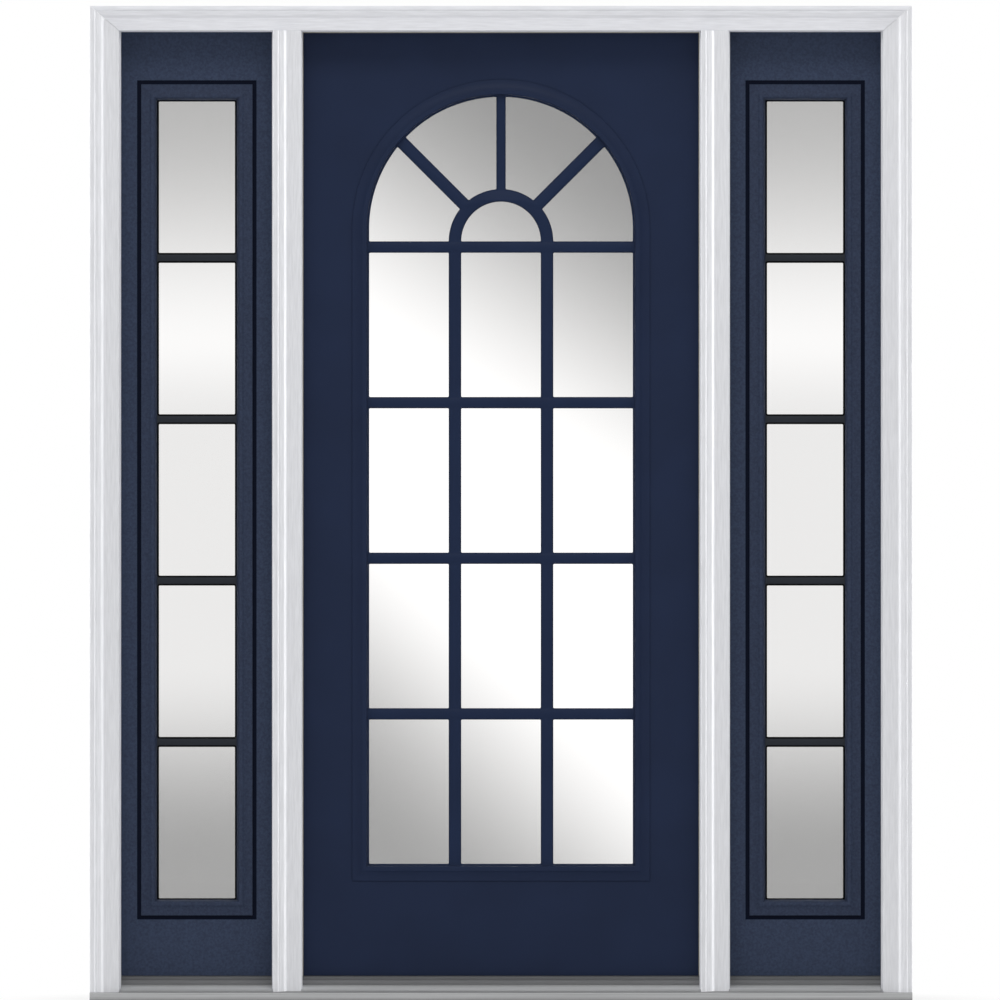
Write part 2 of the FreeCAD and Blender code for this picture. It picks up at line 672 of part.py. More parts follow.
def make_leaf(place):
    """The swinging leaf: stiles, rails and core between two skins, with the arched lite and the sweep."""
    half_width = s["door_width"] / 2
    half_thick = s["door_thick"] / 2
    core_thick = half_thick - s["skin_thick"]
    stile_edge = half_width - s["stile_width"]
    height = s["door_height"]
    lean = s["edge_bevel"] / s["door_thick"]

    hinge_stile = new_body("hinge_stile", place)
    loop = box_loop(-half_width, -core_thick, -stile_edge, core_thick)
    extrude(hinge_stile, "stile", "XY_Plane", [loop], ZERO, height)
    mortise_front = half_thick - s["hinge_reach"]
    mortise_far = -half_width + s["hinge_plate"]
    cut_mortises(hinge_stile, -half_width, mortise_far, mortise_front, half_thick, ZERO)

    lock_stile = new_body("lock_stile", place)
    loop = [
        (stile_edge, -core_thick),
        (half_width - lean * (half_thick + core_thick), -core_thick),
        (half_width - lean * s["skin_thick"], core_thick),
        (stile_edge, core_thick),
    ]
    extrude(lock_stile, "stile", "XY_Plane", [loop], ZERO, height)

    top_rail = new_body("top_rail", place)
    loop = box_loop(-core_thick, height - s["rail_height"], core_thick, height)
    extrude(top_rail, "rail", "YZ_Plane", [loop], -stile_edge, stile_edge)

    bottom_rail = new_body("bottom_rail", place)
    loop = box_loop(-core_thick, ZERO, core_thick, s["rail_height"])
    extrude(bottom_rail, "rail", "YZ_Plane", [loop], -stile_edge, stile_edge)
    tongue = box_loop(-s["tongue_thick"] / 2, ZERO, s["tongue_thick"] / 2, s["sweep_tongue"])
    extrude(bottom_rail, "kerf", "YZ_Plane", [tongue], -stile_edge, stile_edge, cut=True)

    sweep = new_body("door_sweep", place)
    extrude(sweep, "strip", "YZ_Plane", [sweep_loop(core_thick)], -half_width, half_width - s["edge_bevel"])
    extrude(sweep, "tongue", "YZ_Plane", [tongue], -stile_edge, stile_edge)

    low = s["lite_rise"]
    cutout = arch_loop(lite_half + s["cutout_margin"], low - s["cutout_margin"], lite_spring)

    core = new_body("door_core", place)
    loop = box_loop(-stile_edge, s["rail_height"], stile_edge, height - s["rail_height"])
    extrude(core, "core", "XZ_Plane", [loop, cutout], -core_thick, core_thick)

    skin_outside = new_body("skin_outside", place)
    loop = box_loop(-half_width, ZERO, half_width - s["edge_bevel"], height)
    extrude(skin_outside, "skin", "XZ_Plane", [loop, cutout], -half_thick, -core_thick)

    skin_inside = new_body("skin_inside", place)
    loop = box_loop(-half_width, ZERO, half_width, height)
    extrude(skin_inside, "skin", "XZ_Plane", [loop, cutout], core_thick, half_thick)
    cut_mortises(skin_inside, -half_width, mortise_far, core_thick, half_thick, ZERO)

    glass = new_body("door_glass", place)
    loop = arch_loop(lite_half + s["glass_bite"], low - s["glass_bite"], lite_spring)
    extrude(glass, "unit", "XZ_Plane", [loop], -s["glass_thick"] / 2, s["glass_thick"] / 2)

    pieces = [hinge_stile, lock_stile, top_rail, bottom_rail, sweep, core, skin_outside, skin_inside, glass]
    for face, turned in (("outside", False), ("inside", True)):
        pieces.append(make_lite_frame("lite_frame_" + face, place, turned, lite_half, low, lite_spring, True))
        pieces.append(make_door_grille("grille_" + face, place, turned))
    return pieces


def make_sidelight(side_word, side):
    """A fixed panel on its cap, with its own glass, moulded frames and bars on both faces."""
    place = (panel_middle * side, panel_plane, s["cap_top"])
    half_width = s["panel_width"] / 2
    half_thick = s["door_thick"] / 2
    height = panel_top - s["cap_top"]
    glass_half = side_lite_half
    low = s["side_lite_rise"]
    high = side_lite_top

    panel = new_body(side_word + "_sidelight_panel", place)
    margin = s["cutout_margin"]
    cutout = box_loop(-glass_half - margin, low - margin, glass_half + margin, high + margin)
    slab = box_loop(-half_width, ZERO, half_width, height)
    extrude(panel, "slab", "XZ_Plane", [slab, cutout], -half_thick, half_thick)
    inner = s["lite_frame_width"]
    outer = inner + s["groove_width"]
    groove = [box_loop(-glass_half - r, low - r, glass_half + r, high + r) for r in (outer, inner)]
    floor = half_thick - s["groove_depth"]
    extrude(panel, "groove_outside", "XZ_Plane", groove, -half_thick, -floor, cut=True)
    extrude(panel, "groove_inside", "XZ_Plane", groove, floor, half_thick, cut=True)

    glass = new_body(side_word + "_sidelight_glass", place)
    bite = s["glass_bite"]
    loop = box_loop(-glass_half - bite, low - bite, glass_half + bite, high + bite)
    extrude(glass, "unit", "XZ_Plane", [loop], -s["glass_thick"] / 2, s["glass_thick"] / 2)

    pieces = [panel, glass]
    for face, turned in (("outside", False), ("inside", True)):
        label = side_word + "_lite_frame_" + face
        pieces.append(make_lite_frame(label, place, turned, glass_half, low, high, False))
        pieces.append(make_side_grille(side_word + "_grille_" + face, place, turned))
    return pieces


def knuckle_spans(numbers):
    """The lower and upper ends of the given knuckles of every hinge, above the foot of the leaf."""
    pitch = (s["hinge_height"] + s["knuckle_gap"]) / KNUCKLES
    spans = []
    for foot in hinge_feet():
        for number in numbers:
            low = foot + pitch * number
            spans.append((low, low + pitch - s["knuckle_gap"]))
    return spans


def make_hinge_leaves(label, place, side, numbers):
    """The three plates of one side, each with its knuckles, about the hinge axis."""
    leaves = new_body(label, place)
    face = s["leaf_gap"] / 2
    plate_span = sorted(
        [face * side, (face + s["hinge_plate"]) * side], key=lambda length: length.number
    )
    back = -s["pin_stand"]
    front = back - s["hinge_reach"]
    plates = [box_loop(front, z, back, z + s["hinge_height"]) for z in hinge_feet()]
    extrude(leaves, "plates", "YZ_Plane", plates, plate_span[0], plate_span[1])
    spans = knuckle_spans(numbers)
    tab_end = -(s["pin_radius"] + s["pin_wall"])
    tabs = [box_loop(back, low, tab_end, high) for low, high in spans]
    extrude(leaves, "tabs", "YZ_Plane", tabs, plate_span[0], plate_span[1])
    hole = s["pin_radius"] + s["pin_clear"]
    rings = [box_loop(hole, low, s["knuckle_radius"], high) for low, high in spans]
    revolve(leaves, "knuckles", "XZ_Plane", rings, "Z_Axis")
    return leaves


def make_hinge_pins(place):
    pins = new_body("hinge_pins", place)
    loops = []
    for foot in hinge_feet():
        tail = foot - s["pin_tail"]
        top = foot + s["hinge_height"]
        loops.append([
            (ZERO, tail),
            (s["pin_radius"], tail),
            (s["pin_radius"], top),
            (s["pin_head"], top),
            (s["pin_head"], top + s["pin_cap"]),
            (ZERO, top + s["pin_cap"]),
        ])
    revolve(pins, "pins", "XZ_Plane", loops, "Z_Axis")
    return pins


def make_hinges():
    axis_x = -(s["door_width"] / 2 + s["leaf_gap"] / 2)
    place = (axis_x, frame_back + s["pin_stand"], leaf_foot)
    return [
        make_hinge_leaves("hinge_jamb_leaves", place, LEFT, range(0, KNUCKLES, 2)),
        make_hinge_leaves("hinge_door_leaves", place, RIGHT, range(1, KNUCKLES, 2)),
        make_hinge_pins(place),
    ]


def make_unit():
    pieces = make_sill()
    pieces += [make_jamb("left_jamb", LEFT), make_jamb("right_jamb", RIGHT), make_head()]
    pieces += [make_mullion("left_mullion", LEFT), make_mullion("right_mullion", RIGHT)]
    pieces += [make_side_casing("left_casing", LEFT), make_side_casing("right_casing", RIGHT)]
    pieces.append(make_head_casing())
    pieces += [make_mull_casing("left_mull_casing", LEFT), make_mull_casing("right_mull_casing", RIGHT)]
    pieces += make_weatherstrips()
    pieces += make_leaf((ZERO, leaf_middle, leaf_foot))
    pieces += make_sidelight("left", LEFT) + make_sidelight("right", RIGHT)
    pieces += make_hinges()
    return pieces


def check(pieces):
    """Stops if any object of the document has failed, or any piece is empty or not valid."""
    faults = [thing.Label for thing in doc.Objects if "Invalid" in thing.State or "Error" in thing.State]
    faults += [piece.Label for piece in pieces if piece.Shape.isNull() or not piece.Shape.isValid()]
    if faults:
        raise RuntimeError("these objects failed: " + ", ".join(faults))


pieces = make_unit()
doc.recompute()
check(pieces)
os.makedirs("parts", exist_ok=True)
for piece in pieces:
    piece.Shape.exportStep("parts/%s.step" % piece.Label)
    print("%-28s %2d solids %12.0f mm3" % (piece.Label, len(piece.Shape.Solids), piece.Shape.Volume))
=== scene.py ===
"""Looks of a navy entry door with an arched lite and two sidelights, in a white moulded frame."""

import json
import math

import bmesh
import bpy
import numpy as np
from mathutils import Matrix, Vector
from mathutils.geometry import tessellate_polygon


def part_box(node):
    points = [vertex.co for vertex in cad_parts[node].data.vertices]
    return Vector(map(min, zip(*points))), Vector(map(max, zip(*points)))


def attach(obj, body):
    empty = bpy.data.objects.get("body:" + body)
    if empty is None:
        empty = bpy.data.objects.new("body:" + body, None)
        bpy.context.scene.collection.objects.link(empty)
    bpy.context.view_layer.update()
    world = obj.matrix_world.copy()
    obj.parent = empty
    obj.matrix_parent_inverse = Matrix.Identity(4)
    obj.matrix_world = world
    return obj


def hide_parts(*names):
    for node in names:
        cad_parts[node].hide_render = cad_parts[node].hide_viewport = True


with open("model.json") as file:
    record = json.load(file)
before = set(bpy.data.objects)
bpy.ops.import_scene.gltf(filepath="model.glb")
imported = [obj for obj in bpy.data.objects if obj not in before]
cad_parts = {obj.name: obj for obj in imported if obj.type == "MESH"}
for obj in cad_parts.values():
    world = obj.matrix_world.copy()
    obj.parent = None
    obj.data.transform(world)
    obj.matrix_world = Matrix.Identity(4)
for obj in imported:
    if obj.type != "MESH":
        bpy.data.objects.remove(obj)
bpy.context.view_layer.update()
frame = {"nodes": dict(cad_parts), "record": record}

# Metres in a millimetre. Sizes below are in millimetres unless a comment says metres
MM = 0.001

# Section of a moulded lite frame: its width, the end of its level crown, the thickness of its outer edge, and
# the rounding of those two corners
LITE_FRAME_WIDTH = 36.0
CROWN_END = 14.0
FRAME_EDGE = 2.5
CROWN_EASE, EDGE_EASE = 2.0, 0.8
COVE_STEPS = 8

# The leaf's lite and a sidelight's, each with four sizes: how far outside the glass's edge the frame's inner
# wall stands, how wide the bars' bevels are, where the crown starts, and how wide the chamfer before it is
DOOR_EDGE = (4.0, 3.0, 6.0, 1.4)
SIDE_EDGE = (2.4, 3.6, 9.5, 3.4)
GASKET_LAP = 1.3

# Glazing bars: widths, and the rounding at the foot and the crest of their bevels
POST_BAR, RAIL_BAR, RAY_BAR, SIDE_BAR = 26.5, 24.0, 20.0, 21.0
FOOT_DROP, FOOT_TURN = 1.0, 0.35
CREST_BACK, CREST_DROP = 0.6, 0.35

# Layout of the panes. The fan's centre lies FAN_DROP below the spring of the arch
FAN_DROP = 27.0
RAY_TURN = math.radians(45)
LEVEL_BARS = 4
SIDE_PANES = 5
PANE_CORNER = 2.0
ARCH_STEPS = 96
FAN_STEPS = 40

# Insulating glass and the leaf's cut-out behind the lite frame
PANE_THICK = 3.2
SPACER_HIGH, SPACER_GAP = 6.5, 0.3
CUTOUT_LEG = 13.0

# Groove of the sidelight panels: its depth, and the skin of navy that its edges keep. From half its depth
# down, the groove is painted black as painted shade
GROOVE_DEEP, GROOVE_EASE = 3.0, 0.2

# Casing section: where its parts end across, and how far they stand out from the frame
CASING_WIDTH = 61.5
BAND_END, ROUND_END, FILLET_END, SLOPE_END, OGEE_END = 7.5, 11.8, 15.4, 21.2, 31.2
BAND_THICK, FILLET_THICK, SLOPE_THICK, FLAT_THICK = 32.0, 29.6, 26.8, 22.0
CASING_EASE, CASING_ARRIS = 1.5, 0.6
ROUND_STEPS, OGEE_STEPS = 6, 12
MITRE_GAP = 0.35

# Hinges: height of a plate, and each screw's place on it from its front and lower edges
HINGES = 3
HINGE_HIGH = 100.0
SCREW_PLACES = ((10.5, 13.0), (21.5, 37.0), (21.5, 63.0), (10.5, 87.0))
SCREW_RADIUS, SCREW_FOOT, SCREW_PROUD = 4.3, 0.02, 0.35
SCREW_STEPS = 32
CROSS_REACH, CROSS_HALF = 2.4, 0.55
# A dark sheet in each screw's cross, painted as its shadow: its share of the head's radius and its two depths
SHADOW_SHEET_SHARE, SHADOW_SHEET_FOOT, SHADOW_SHEET_TOP = 0.9, 0.03, 0.08

# Sill: its nosing and sloping tread, the ribs on the tread and the strips on the dam behind it
NOSING_WIDE = 9.5
TREAD_LOW, TREAD_HIGH = 18.0, 31.5
DAM_WIDE = 12.5
RIB_PITCH, RIB_WIDE, RIB_HIGH = 9.0, 2.6, 0.7
RIB_STEPS = 6
# The black line on the dam's top is a painted shadow under the door, and the strip below it is darker partly
# as painted shade
SHADOW_LINE_HIGH, STRIP_HIGH, FACE_HIGH = 1.3, 7.9, 9.0
STRIP_THICK, FACE_THICK = 1.6, 0.8
STRIP_EASE = 0.2
BAY_CLEAR = 1.0

# Heights at which the sill is painted darkest, the tone of that painted shade, and the tones of the nosing
# and of the tread, which is painted lighter as painted light
SILL_HOLLOWS = (1.5, 18.2, 32.4)
HOLLOW_SHADE_TONE, SHADED_NOSING_TONE, LIT_TREAD_TONE = 0.52, 0.9, 1.06

# A rounded corner has EASE_STEPS sides. Points nearer than WELD become one, an outline keeps no side shorter
# than SHORTEST, TINY stands in for a length of nothing where one is divided by, and edges that turn by more
# than SMOOTH_ANGLE look sharp
EASE_STEPS = 4
WELD = 0.002
SHORTEST = 1e-4
TINY = 1e-9
SMOOTH_ANGLE = math.radians(32)

# Paints and how matt they are. The primer reaches PRIMER_SKIN in from the faces that the wall covers
# The level white is the upright white made a little lighter: painted light on the head's boards
UPRIGHT_WHITE, LIT_LEVEL_WHITE = "#E2E3E7", "#E8E9EE"
# Painted shade: the nearly black of the sidelight panels' groove
GROOVE_SHADE_BLACK = "#000920"
PRIMER_GREY, PRIMER_SKIN = "#B4B1A9", 0.5
TRIM_ROUGH, PRIMER_ROUGH = 0.34, 0.85
ENAMEL_ROUGH, STIPPLE_ROUGH, SILL_ROUGH = 0.50, 0.52, 0.50
NOISE_RANGE = (0.35, 0.65)
GLASS_IOR = 1.52

# The photograph's scale, and the pixels of its 1000 that the unit's middle and foot stand on
PICTURE = 1000
MM_PER_PIXEL = 2.117
MIDDLE_PIXEL, FOOT_PIXEL = 501.0, 999.9

# Camera: focal length and sensor in millimetres, the depth in metres that fills the photograph's width,
# and how many times its own distance it sees
LENS, SENSOR = 900.0, 36.0
PICTURE_PLANE = -0.04
SIGHT = 3

# Soft boxes: places, aims and sizes in metres, and powers in watts
STRIP_PLACE, STRIP_SIZE, STRIP_POWER = (14.0, -1.05, 1.6), (1.5, 8.0), 1480
FRONT_PLACE, FRONT_SIZE, FRONT_POWER = (0, -8.0, 8.5), (6.0, 3.2), 240
BACK_PLACE, BACK_SIZE, BACK_POWER = (-1.5, 3.0, 3.2), (2.6, 1.6), 30
FRONT_AIM, BACK_AIM = (0, 0, 1.05), (0, 0, 1.0)
ROOM_LIGHT = 0.65

# Floor: its reach and where it fades to white, in metres, and how white it is at the object
FLOOR_GREY = "#DCDCDC"
FLOOR_REACH = 16.0
FLOOR_FADE = (0.8, 1.15)
FLOOR_GLOW = 0.75

# Card behind the glass: how far back, how large and how high off the floor, in metres
CARD_BACK, CARD_REACH, CARD_LOW = 1.0, 4.0, 0.001
CARD_TINT = "#FFFEFD"

# Falls of grey on the card: how far each leans from the upright, two places in metres along it, and the greys
# there. A grey is a share of the screen's white, and its light is that share raised to SCREEN_POWER
DOOR_FALLS = (
    (math.radians(31.9), (1.689, 0.973), (0.598, 1.049)),
    (math.radians(41.8), (0.055, 0.618), (0.613, 1.0)),
)
SIDE_FALLS = (
    (0.0, (0.30, 0.72), (0.652, 0.919)),
    (0.0, (1.22, 1.41), (1.0, 1.074)),
    (0.0, (1.36, 1.96), (1.0, 0.722)),
)
SCREEN_POWER = 2.2

# Where the card turns from white at its foot to its greys, and from the door's falls to the sidelights', in
# metres
CARD_FOOT = (0.0, (0.05, 0.19), (0.0, 1.0))
DOOR_HALF, SIDE_START = 0.40, 0.48

# What the unit's glass does to the card's light: the share that it passes, and what it mirrors on top
GLASS_PASSES, GLASS_MIRRORS = 0.829, 0.153


def span(node):
    """Lowest and highest corner of a node, in millimetres."""
    low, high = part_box(node)
    return np.array(low) / MM, np.array(high) / MM


def linear(code, tone=1.0):
    """An sRGB hex colour as linear red, green, blue and alpha, made lighter or darker by tone."""
    values = np.array([int(code[i : i + 2], 16) for i in (1, 3, 5)]) / 255
    curved = np.where(values <= 0.04045, values / 12.92, ((values + 0.055) / 1.055) ** 2.4)
    return (*np.clip(curved * tone, 0, 1).tolist(), 1.0)


def add(tree, kind, sockets=None, **settings):
    """One node with its settings, its socket values, and its links where a value is another node's socket.
    Where sockets share a name, the key is the full one, such as A_Color."""
    node = tree.nodes.new(kind)
    for name, value in settings.items():
        setattr(node, name, value)
    full_names = {socket.identifier: socket for socket in node.inputs}
    for name, value in (sockets or {}).items():
        socket = full_names[name] if name in full_names else node.inputs[name]
        if isinstance(value, bpy.types.NodeSocket):
            tree.links.new(value, socket)
        else:
            socket.default_value = value
    return node


def finish(name, code, roughness, **sockets):
    """A material with one Principled shader, whose even values are set on its own sockets."""
    material = bpy.data.materials.new(name)
    material.use_nodes = True
    tree = material.node_tree
    shader = tree.nodes["Principled BSDF"]
    shader.inputs["Base Color"].default_value = linear(code)
    shader.inputs["Roughness"].default_value = roughness
    for socket, value in sockets.items():
        shader.inputs[socket.replace("_", " ")].default_value = value
    return material, tree, shader


def noise(tree, size, detail=3.0, roughness=0.55):
    """Noise whose spots measure size millimetres along X, Y and Z of the object."""
    where = add(tree, "ShaderNodeTexCoord").outputs["Object"]
    scale = [1 / (length * MM) for length in size]
    scaled = add(tree, "ShaderNodeMapping", {"Vector": where, "Scale": scale}).outputs["Vector"]
    values = {"Vector": scaled, "Scale": 1.0, "Detail": detail, "Roughness": roughness}
    return add(tree, "ShaderNodeTexNoise", values).outputs["Fac"]


def grain(along, length, width):
    """Size of spots that are drawn out along one axis."""
    return [length if axis == along else width for axis in "XYZ"]


def tones(tree, factor, code, dark, light):
    """The colour from its dark to its light tone, as factor goes through the range of most noise."""
    ramp = add(tree, "ShaderNodeValToRGB", {"Fac": factor})
    ends = ramp.color_ramp.elements
    ends[0].position, ends[1].position = NOISE_RANGE
    ends[0].color, ends[1].color = linear(code, dark), linear(code, light)
    return ramp.outputs["Color"]


def coat(tree, shader, shade, *reliefs):
    """Gives the shader its colour, and raises its surface by one pattern after another. Each relief is a
    pattern and how many millimetres it rises where the pattern goes from 0 to 1."""
    tree.links.new(shade, shader.inputs["Base Color"])
    normal = {}
    for height, depth in reliefs:
        sockets = {"Height": height, "Distance": depth * MM, "Strength": 1.0, **normal}
        normal = {"Normal": add(tree, "ShaderNodeBump", sockets).outputs["Normal"]}
    tree.links.new(normal["Normal"], shader.inputs["Normal"])


def wall_side(tree):
    """1 on the faces of the frame that the wall covers, past its sides or above its head, and 0 elsewhere."""
    where = add(tree, "ShaderNodeTexCoord").outputs["Object"]
    place = add(tree, "ShaderNodeSeparateXYZ", {"Vector": where}).outputs
    aside = add(tree, "ShaderNodeMath", {0: place["X"]}, operation="ABSOLUTE").outputs["Value"]
    past = []
    for value, edge in ((aside, span("right_jamb")[1][0]), (place["Z"], span("head_jamb")[1][2])):
        values = {0: value, 1: (edge - PRIMER_SKIN) * MM}
        past.append(add(tree, "ShaderNodeMath", values, operation="GREATER_THAN").outputs["Value"])
    return add(tree, "ShaderNodeMath", {0: past[0], 1: past[1]}, operation="MAXIMUM").outputs["Value"]


def trim_paint(name, code, along, primed=False):
    """Satin white acrylic on primed pine: the brush and the wood's fibres leave faint streaks along the
    board, which show as a soft unevenness of tone and sheen. A primed board has only its dull grey primer
    where the wall covers it."""
    material, tree, shader = finish(name, code, TRIM_ROUGH, Specular_IOR_Level=0.8)
    streaks = noise(tree, grain(along, length=60, width=4.0), detail=5.0, roughness=0.6)
    shade = tones(tree, streaks, code, dark=0.93, light=1.05)
    if primed:
        primer = tones(tree, streaks, PRIMER_GREY, dark=0.85, light=1.08)
        bare = wall_side(tree)
        values = {"Factor_Float": bare, "A_Color": shade, "B_Color": primer}
        shade = add(tree, "ShaderNodeMix", values, data_type="RGBA").outputs[2]
        values = {"Value": bare, "To Min": TRIM_ROUGH, "To Max": PRIMER_ROUGH}
        dull = add(tree, "ShaderNodeMapRange", values).outputs["Result"]
        tree.links.new(dull, shader.inputs["Roughness"])
    fibres = noise(tree, grain(along, length=90, width=1.1), detail=2.0)
    coat(tree, shader, shade, (streaks, 0.22), (fibres, 0.10))
    return material


def door_enamel(name, code):
    """Sprayed navy enamel on a steel skin: nearly even in colour, with a faint orange peel of 4 mm that only
    breaks up its sheen."""
    material, tree, shader = finish(name, code, ENAMEL_ROUGH, Specular_IOR_Level=0.15)
    cloud = noise(tree, (160, 160, 160), detail=2.0)
    peel = noise(tree, (4, 4, 4), detail=1.0)
    coat(tree, shader, tones(tree, cloud, code, dark=0.95, light=1.06), (peel, 0.03))
    return material


def stipple_enamel(name, code, groove=None):
    """The same enamel on moulded fibreglass, whose stipple stays dull and mottles the navy. It is about 2 mm
    wide on the real one, and drawn 5 mm wide here so that it shows. In a groove the enamel is painted nearly
    black as painted shade: groove gives the panel's middle depth, and how far off it that painted shade is
    black and the paint is navy again."""
    material, tree, shader = finish(name, code, STIPPLE_ROUGH, Specular_IOR_Level=0.1)
    spots = noise(tree, (5, 5, 5), detail=3.0, roughness=0.65)
    shade = tones(tree, spots, code, dark=0.84, light=1.16)
    # Painted shade in the groove: black deep in it, navy again at its edges
    if groove:
        middle, black, navy = (length * MM for length in groove)
        where = add(tree, "ShaderNodeTexCoord").outputs["Object"]
        depth = add(tree, "ShaderNodeSeparateXYZ", {"Vector": where}).outputs["Y"]
        off = add(tree, "ShaderNodeMath", {0: depth, 1: middle}, operation="SUBTRACT").outputs["Value"]
        far = add(tree, "ShaderNodeMath", {0: off}, operation="ABSOLUTE").outputs["Value"]
        values = {"Value": far, "From Min": black, "From Max": navy}
        clear = add(tree, "ShaderNodeMapRange", values).outputs["Result"]
        values = {"Factor_Float": clear, "A_Color": linear(GROOVE_SHADE_BLACK), "B_Color": shade}
        shade = add(tree, "ShaderNodeMix", values, data_type="RGBA").outputs[2]
    coat(tree, shader, shade, (spots, 0.25))
    return material


def panel_groove():
    """Middle depth of a sidelight panel, and how far off it the painted shade in its groove is black and the
    enamel is navy.
    """
    low, high = span("left_sidelight_panel")
    half = (high[1] - low[1]) / 2
    return (low[1] + high[1]) / 2, half - GROOVE_DEEP / 2, half - GROOVE_EASE


def plain_finish(name, code, roughness, spot, depth, **sockets):
    """A moulded or sawn material whose spots, spot millimetres along X, Y and Z, differ a little in tone and
    stand out by depth."""
    material, tree, shader = finish(name, code, roughness, **sockets)
    spots = noise(tree, spot)
    coat(tree, shader, tones(tree, spots, code, dark=0.92, light=1.06), (spots, depth))
    return material


def drawn_metal(name, code, roughness, dark, light):
    """Metal with upright drawing or brushing lines, under a millimetre wide on the real one and drawn 2 mm
    wide here so that they show."""
    material, tree, shader = finish(name, code, roughness, Metallic=1.0)
    lines = noise(tree, grain("Z", length=400, width=2.0), detail=4.0, roughness=0.7)
    coat(tree, shader, tones(tree, lines, code, dark, light), (lines, 0.05))
    return material


def sill_extrusion(name, code):
    """Mill finish aluminium, dull with traffic, with painted shade: it is darker in the hollows, at the foot,
    between the nosing and the tread and against the dam. Its tone follows |sin(pi * t)|, where t goes up by 1
    from each hollow's height to the next. The tread is painted lighter than the nosing, as painted light. The
    extrusion's fine level lines are drawn 2 mm wide so that they show."""
    material, tree, shader = finish(name, code, SILL_ROUGH, Metallic=0.35)
    lines = noise(tree, grain("X", length=400, width=2.0), detail=4.0, roughness=0.7)
    shade = tones(tree, lines, code, dark=0.85, light=1.1)
    where = add(tree, "ShaderNodeTexCoord").outputs["Object"]
    height = add(tree, "ShaderNodeSeparateXYZ", {"Vector": where}).outputs["Z"]
    foot, middle, back = (hollow * MM for hollow in SILL_HOLLOWS)
    # Painted shade: darker towards each hollow's height, lightest between them
    turns = []
    for start, end in ((foot, middle), (middle, back)):
        values = {"Value": height, "From Min": start, "From Max": end, "To Max": math.pi}
        turns.append(add(tree, "ShaderNodeMapRange", values).outputs["Result"])
    turn = add(tree, "ShaderNodeMath", {0: turns[0], 1: turns[1]}, operation="ADD").outputs["Value"]
    wave = add(tree, "ShaderNodeMath", {0: turn}, operation="SINE").outputs["Value"]
    lit_share = add(tree, "ShaderNodeMath", {0: wave}, operation="ABSOLUTE").outputs["Value"]
    # Painted light: the tread lighter than the nosing
    values = {
        "Value": height,
        "From Min": middle - MM,
        "From Max": middle + MM,
        "To Min": SHADED_NOSING_TONE,
        "To Max": LIT_TREAD_TONE,
    }
    lit_tone = add(tree, "ShaderNodeMapRange", values).outputs["Result"]
    values = {"Value": lit_share, "To Min": HOLLOW_SHADE_TONE, "To Max": lit_tone}
    tone = add(tree, "ShaderNodeMapRange", values).outputs["Result"]
    values = {0: shade, "Scale": tone}
    shaded = add(tree, "ShaderNodeVectorMath", values, operation="SCALE").outputs["Vector"]
    coat(tree, shader, shaded, (lines, 0.05))
    return material


def float_glass(name):
    """Clear float glass: without colour of its own, it is seen by what lies behind it and what it mirrors."""
    return finish(name, "#FFFFFF", roughness=0.0, Transmission_Weight=1.0, IOR=GLASS_IOR)[0]


# White with a soft shine, so that the slopes of the mouldings catch the lights at the sides
TRIM_UPRIGHT = trim_paint("satin white acrylic, brushed upright", UPRIGHT_WHITE, "Z")
# The head's level boards get the lighter white, as painted light
TRIM_LEVEL = trim_paint("satin white acrylic, brushed level", LIT_LEVEL_WHITE, "X")
# The same white, with the dull grey of primer on the faces that the wall covers
TRIM_JAMB = trim_paint("satin white acrylic on a primed side jamb", UPRIGHT_WHITE, "Z", primed=True)
TRIM_HEAD_JAMB = trim_paint("satin white acrylic on a primed head jamb", LIT_LEVEL_WHITE, "X", primed=True)
# Deep, even navy that shines very little, a trace bluer on the thin bars
NAVY_DOOR = door_enamel("navy enamel on steel", "#1D2944")
NAVY_BARS = door_enamel("navy enamel on glazing bars", "#1A2845")
# Mottled navy, lighter and greyer than the leaf, with a nearly black line of painted shade in its groove
NAVY_PANEL = stipple_enamel("navy enamel on stippled fibreglass", "#384258", panel_groove())
NAVY_SIDE_FRAME = stipple_enamel("navy enamel on moulded lite frame", "#353E53")
# Nearly neutral dark grey, which sets the sidelights' bars off from their navy frames
CHARCOAL_BARS = door_enamel("charcoal enamel on sidelight bars", "#2A2E35")
# Nearly invisible but for what it mirrors
GLASS = float_glass("clear float glass")
# A black line with no shine between a sidelight's glass and its frame
GASKET = plain_finish(
    "black glazing vinyl", "#020304", roughness=0.8, spot=(3, 3, 3), depth=0.02, Specular_IOR_Level=0.08
)
# Grey metal that shows at the panes' edges from a slant
SPACER = drawn_metal("grey glazing spacer", "#8C8F92", roughness=0.4, dark=0.8, light=1.12)
# Paint that has sunk into upright wood fibres, on the leaf's narrow edges
EDGE_WOOD = plain_finish(
    "navy enamel on laminated edge wood", "#263047", roughness=0.5, spot=(3, 3, 120), depth=0.12
)
# Pale and matt with small pores
FOAM = plain_finish("cream polyurethane foam", "#D9CFA9", roughness=0.9, spot=(1.5, 1.5, 1.5), depth=0.4)
# Pale metal between darker lines of painted shade, its tread painted lighter than its nosing
SILL_METAL = sill_extrusion("mill finish extruded aluminium", "#C4C5C6")
# Two greys without shine, which make the dam look darker than the tread: partly their own colour and partly
# painted shade under the door, deepest on the upper strip
DAM_STRIP = plain_finish("dark grey rigid vinyl with painted shade", "#646567", roughness=0.6, spot=(60, 2, 2), depth=0.05)
DAM_FACE = plain_finish("grey anodised aluminium", "#7A7B7D", roughness=0.5, spot=(60, 2, 2), depth=0.05)
# Dull, speckled grey under the sill, and a smoother one with level streaks on the caps
SUBSTRATE = plain_finish("grey composite sill base", "#5C5B58", roughness=0.8, spot=(4, 4, 4), depth=0.2)
CAP = plain_finish("grey composite threshold cap", "#6B6A66", roughness=0.6, spot=(60, 2, 2), depth=0.08)
# Warm light grey skin, soft and matt
SEAL = plain_finish("tan foam weatherstrip", "#B5B1A4", roughness=0.75, spot=(2, 2, 2), depth=0.1)
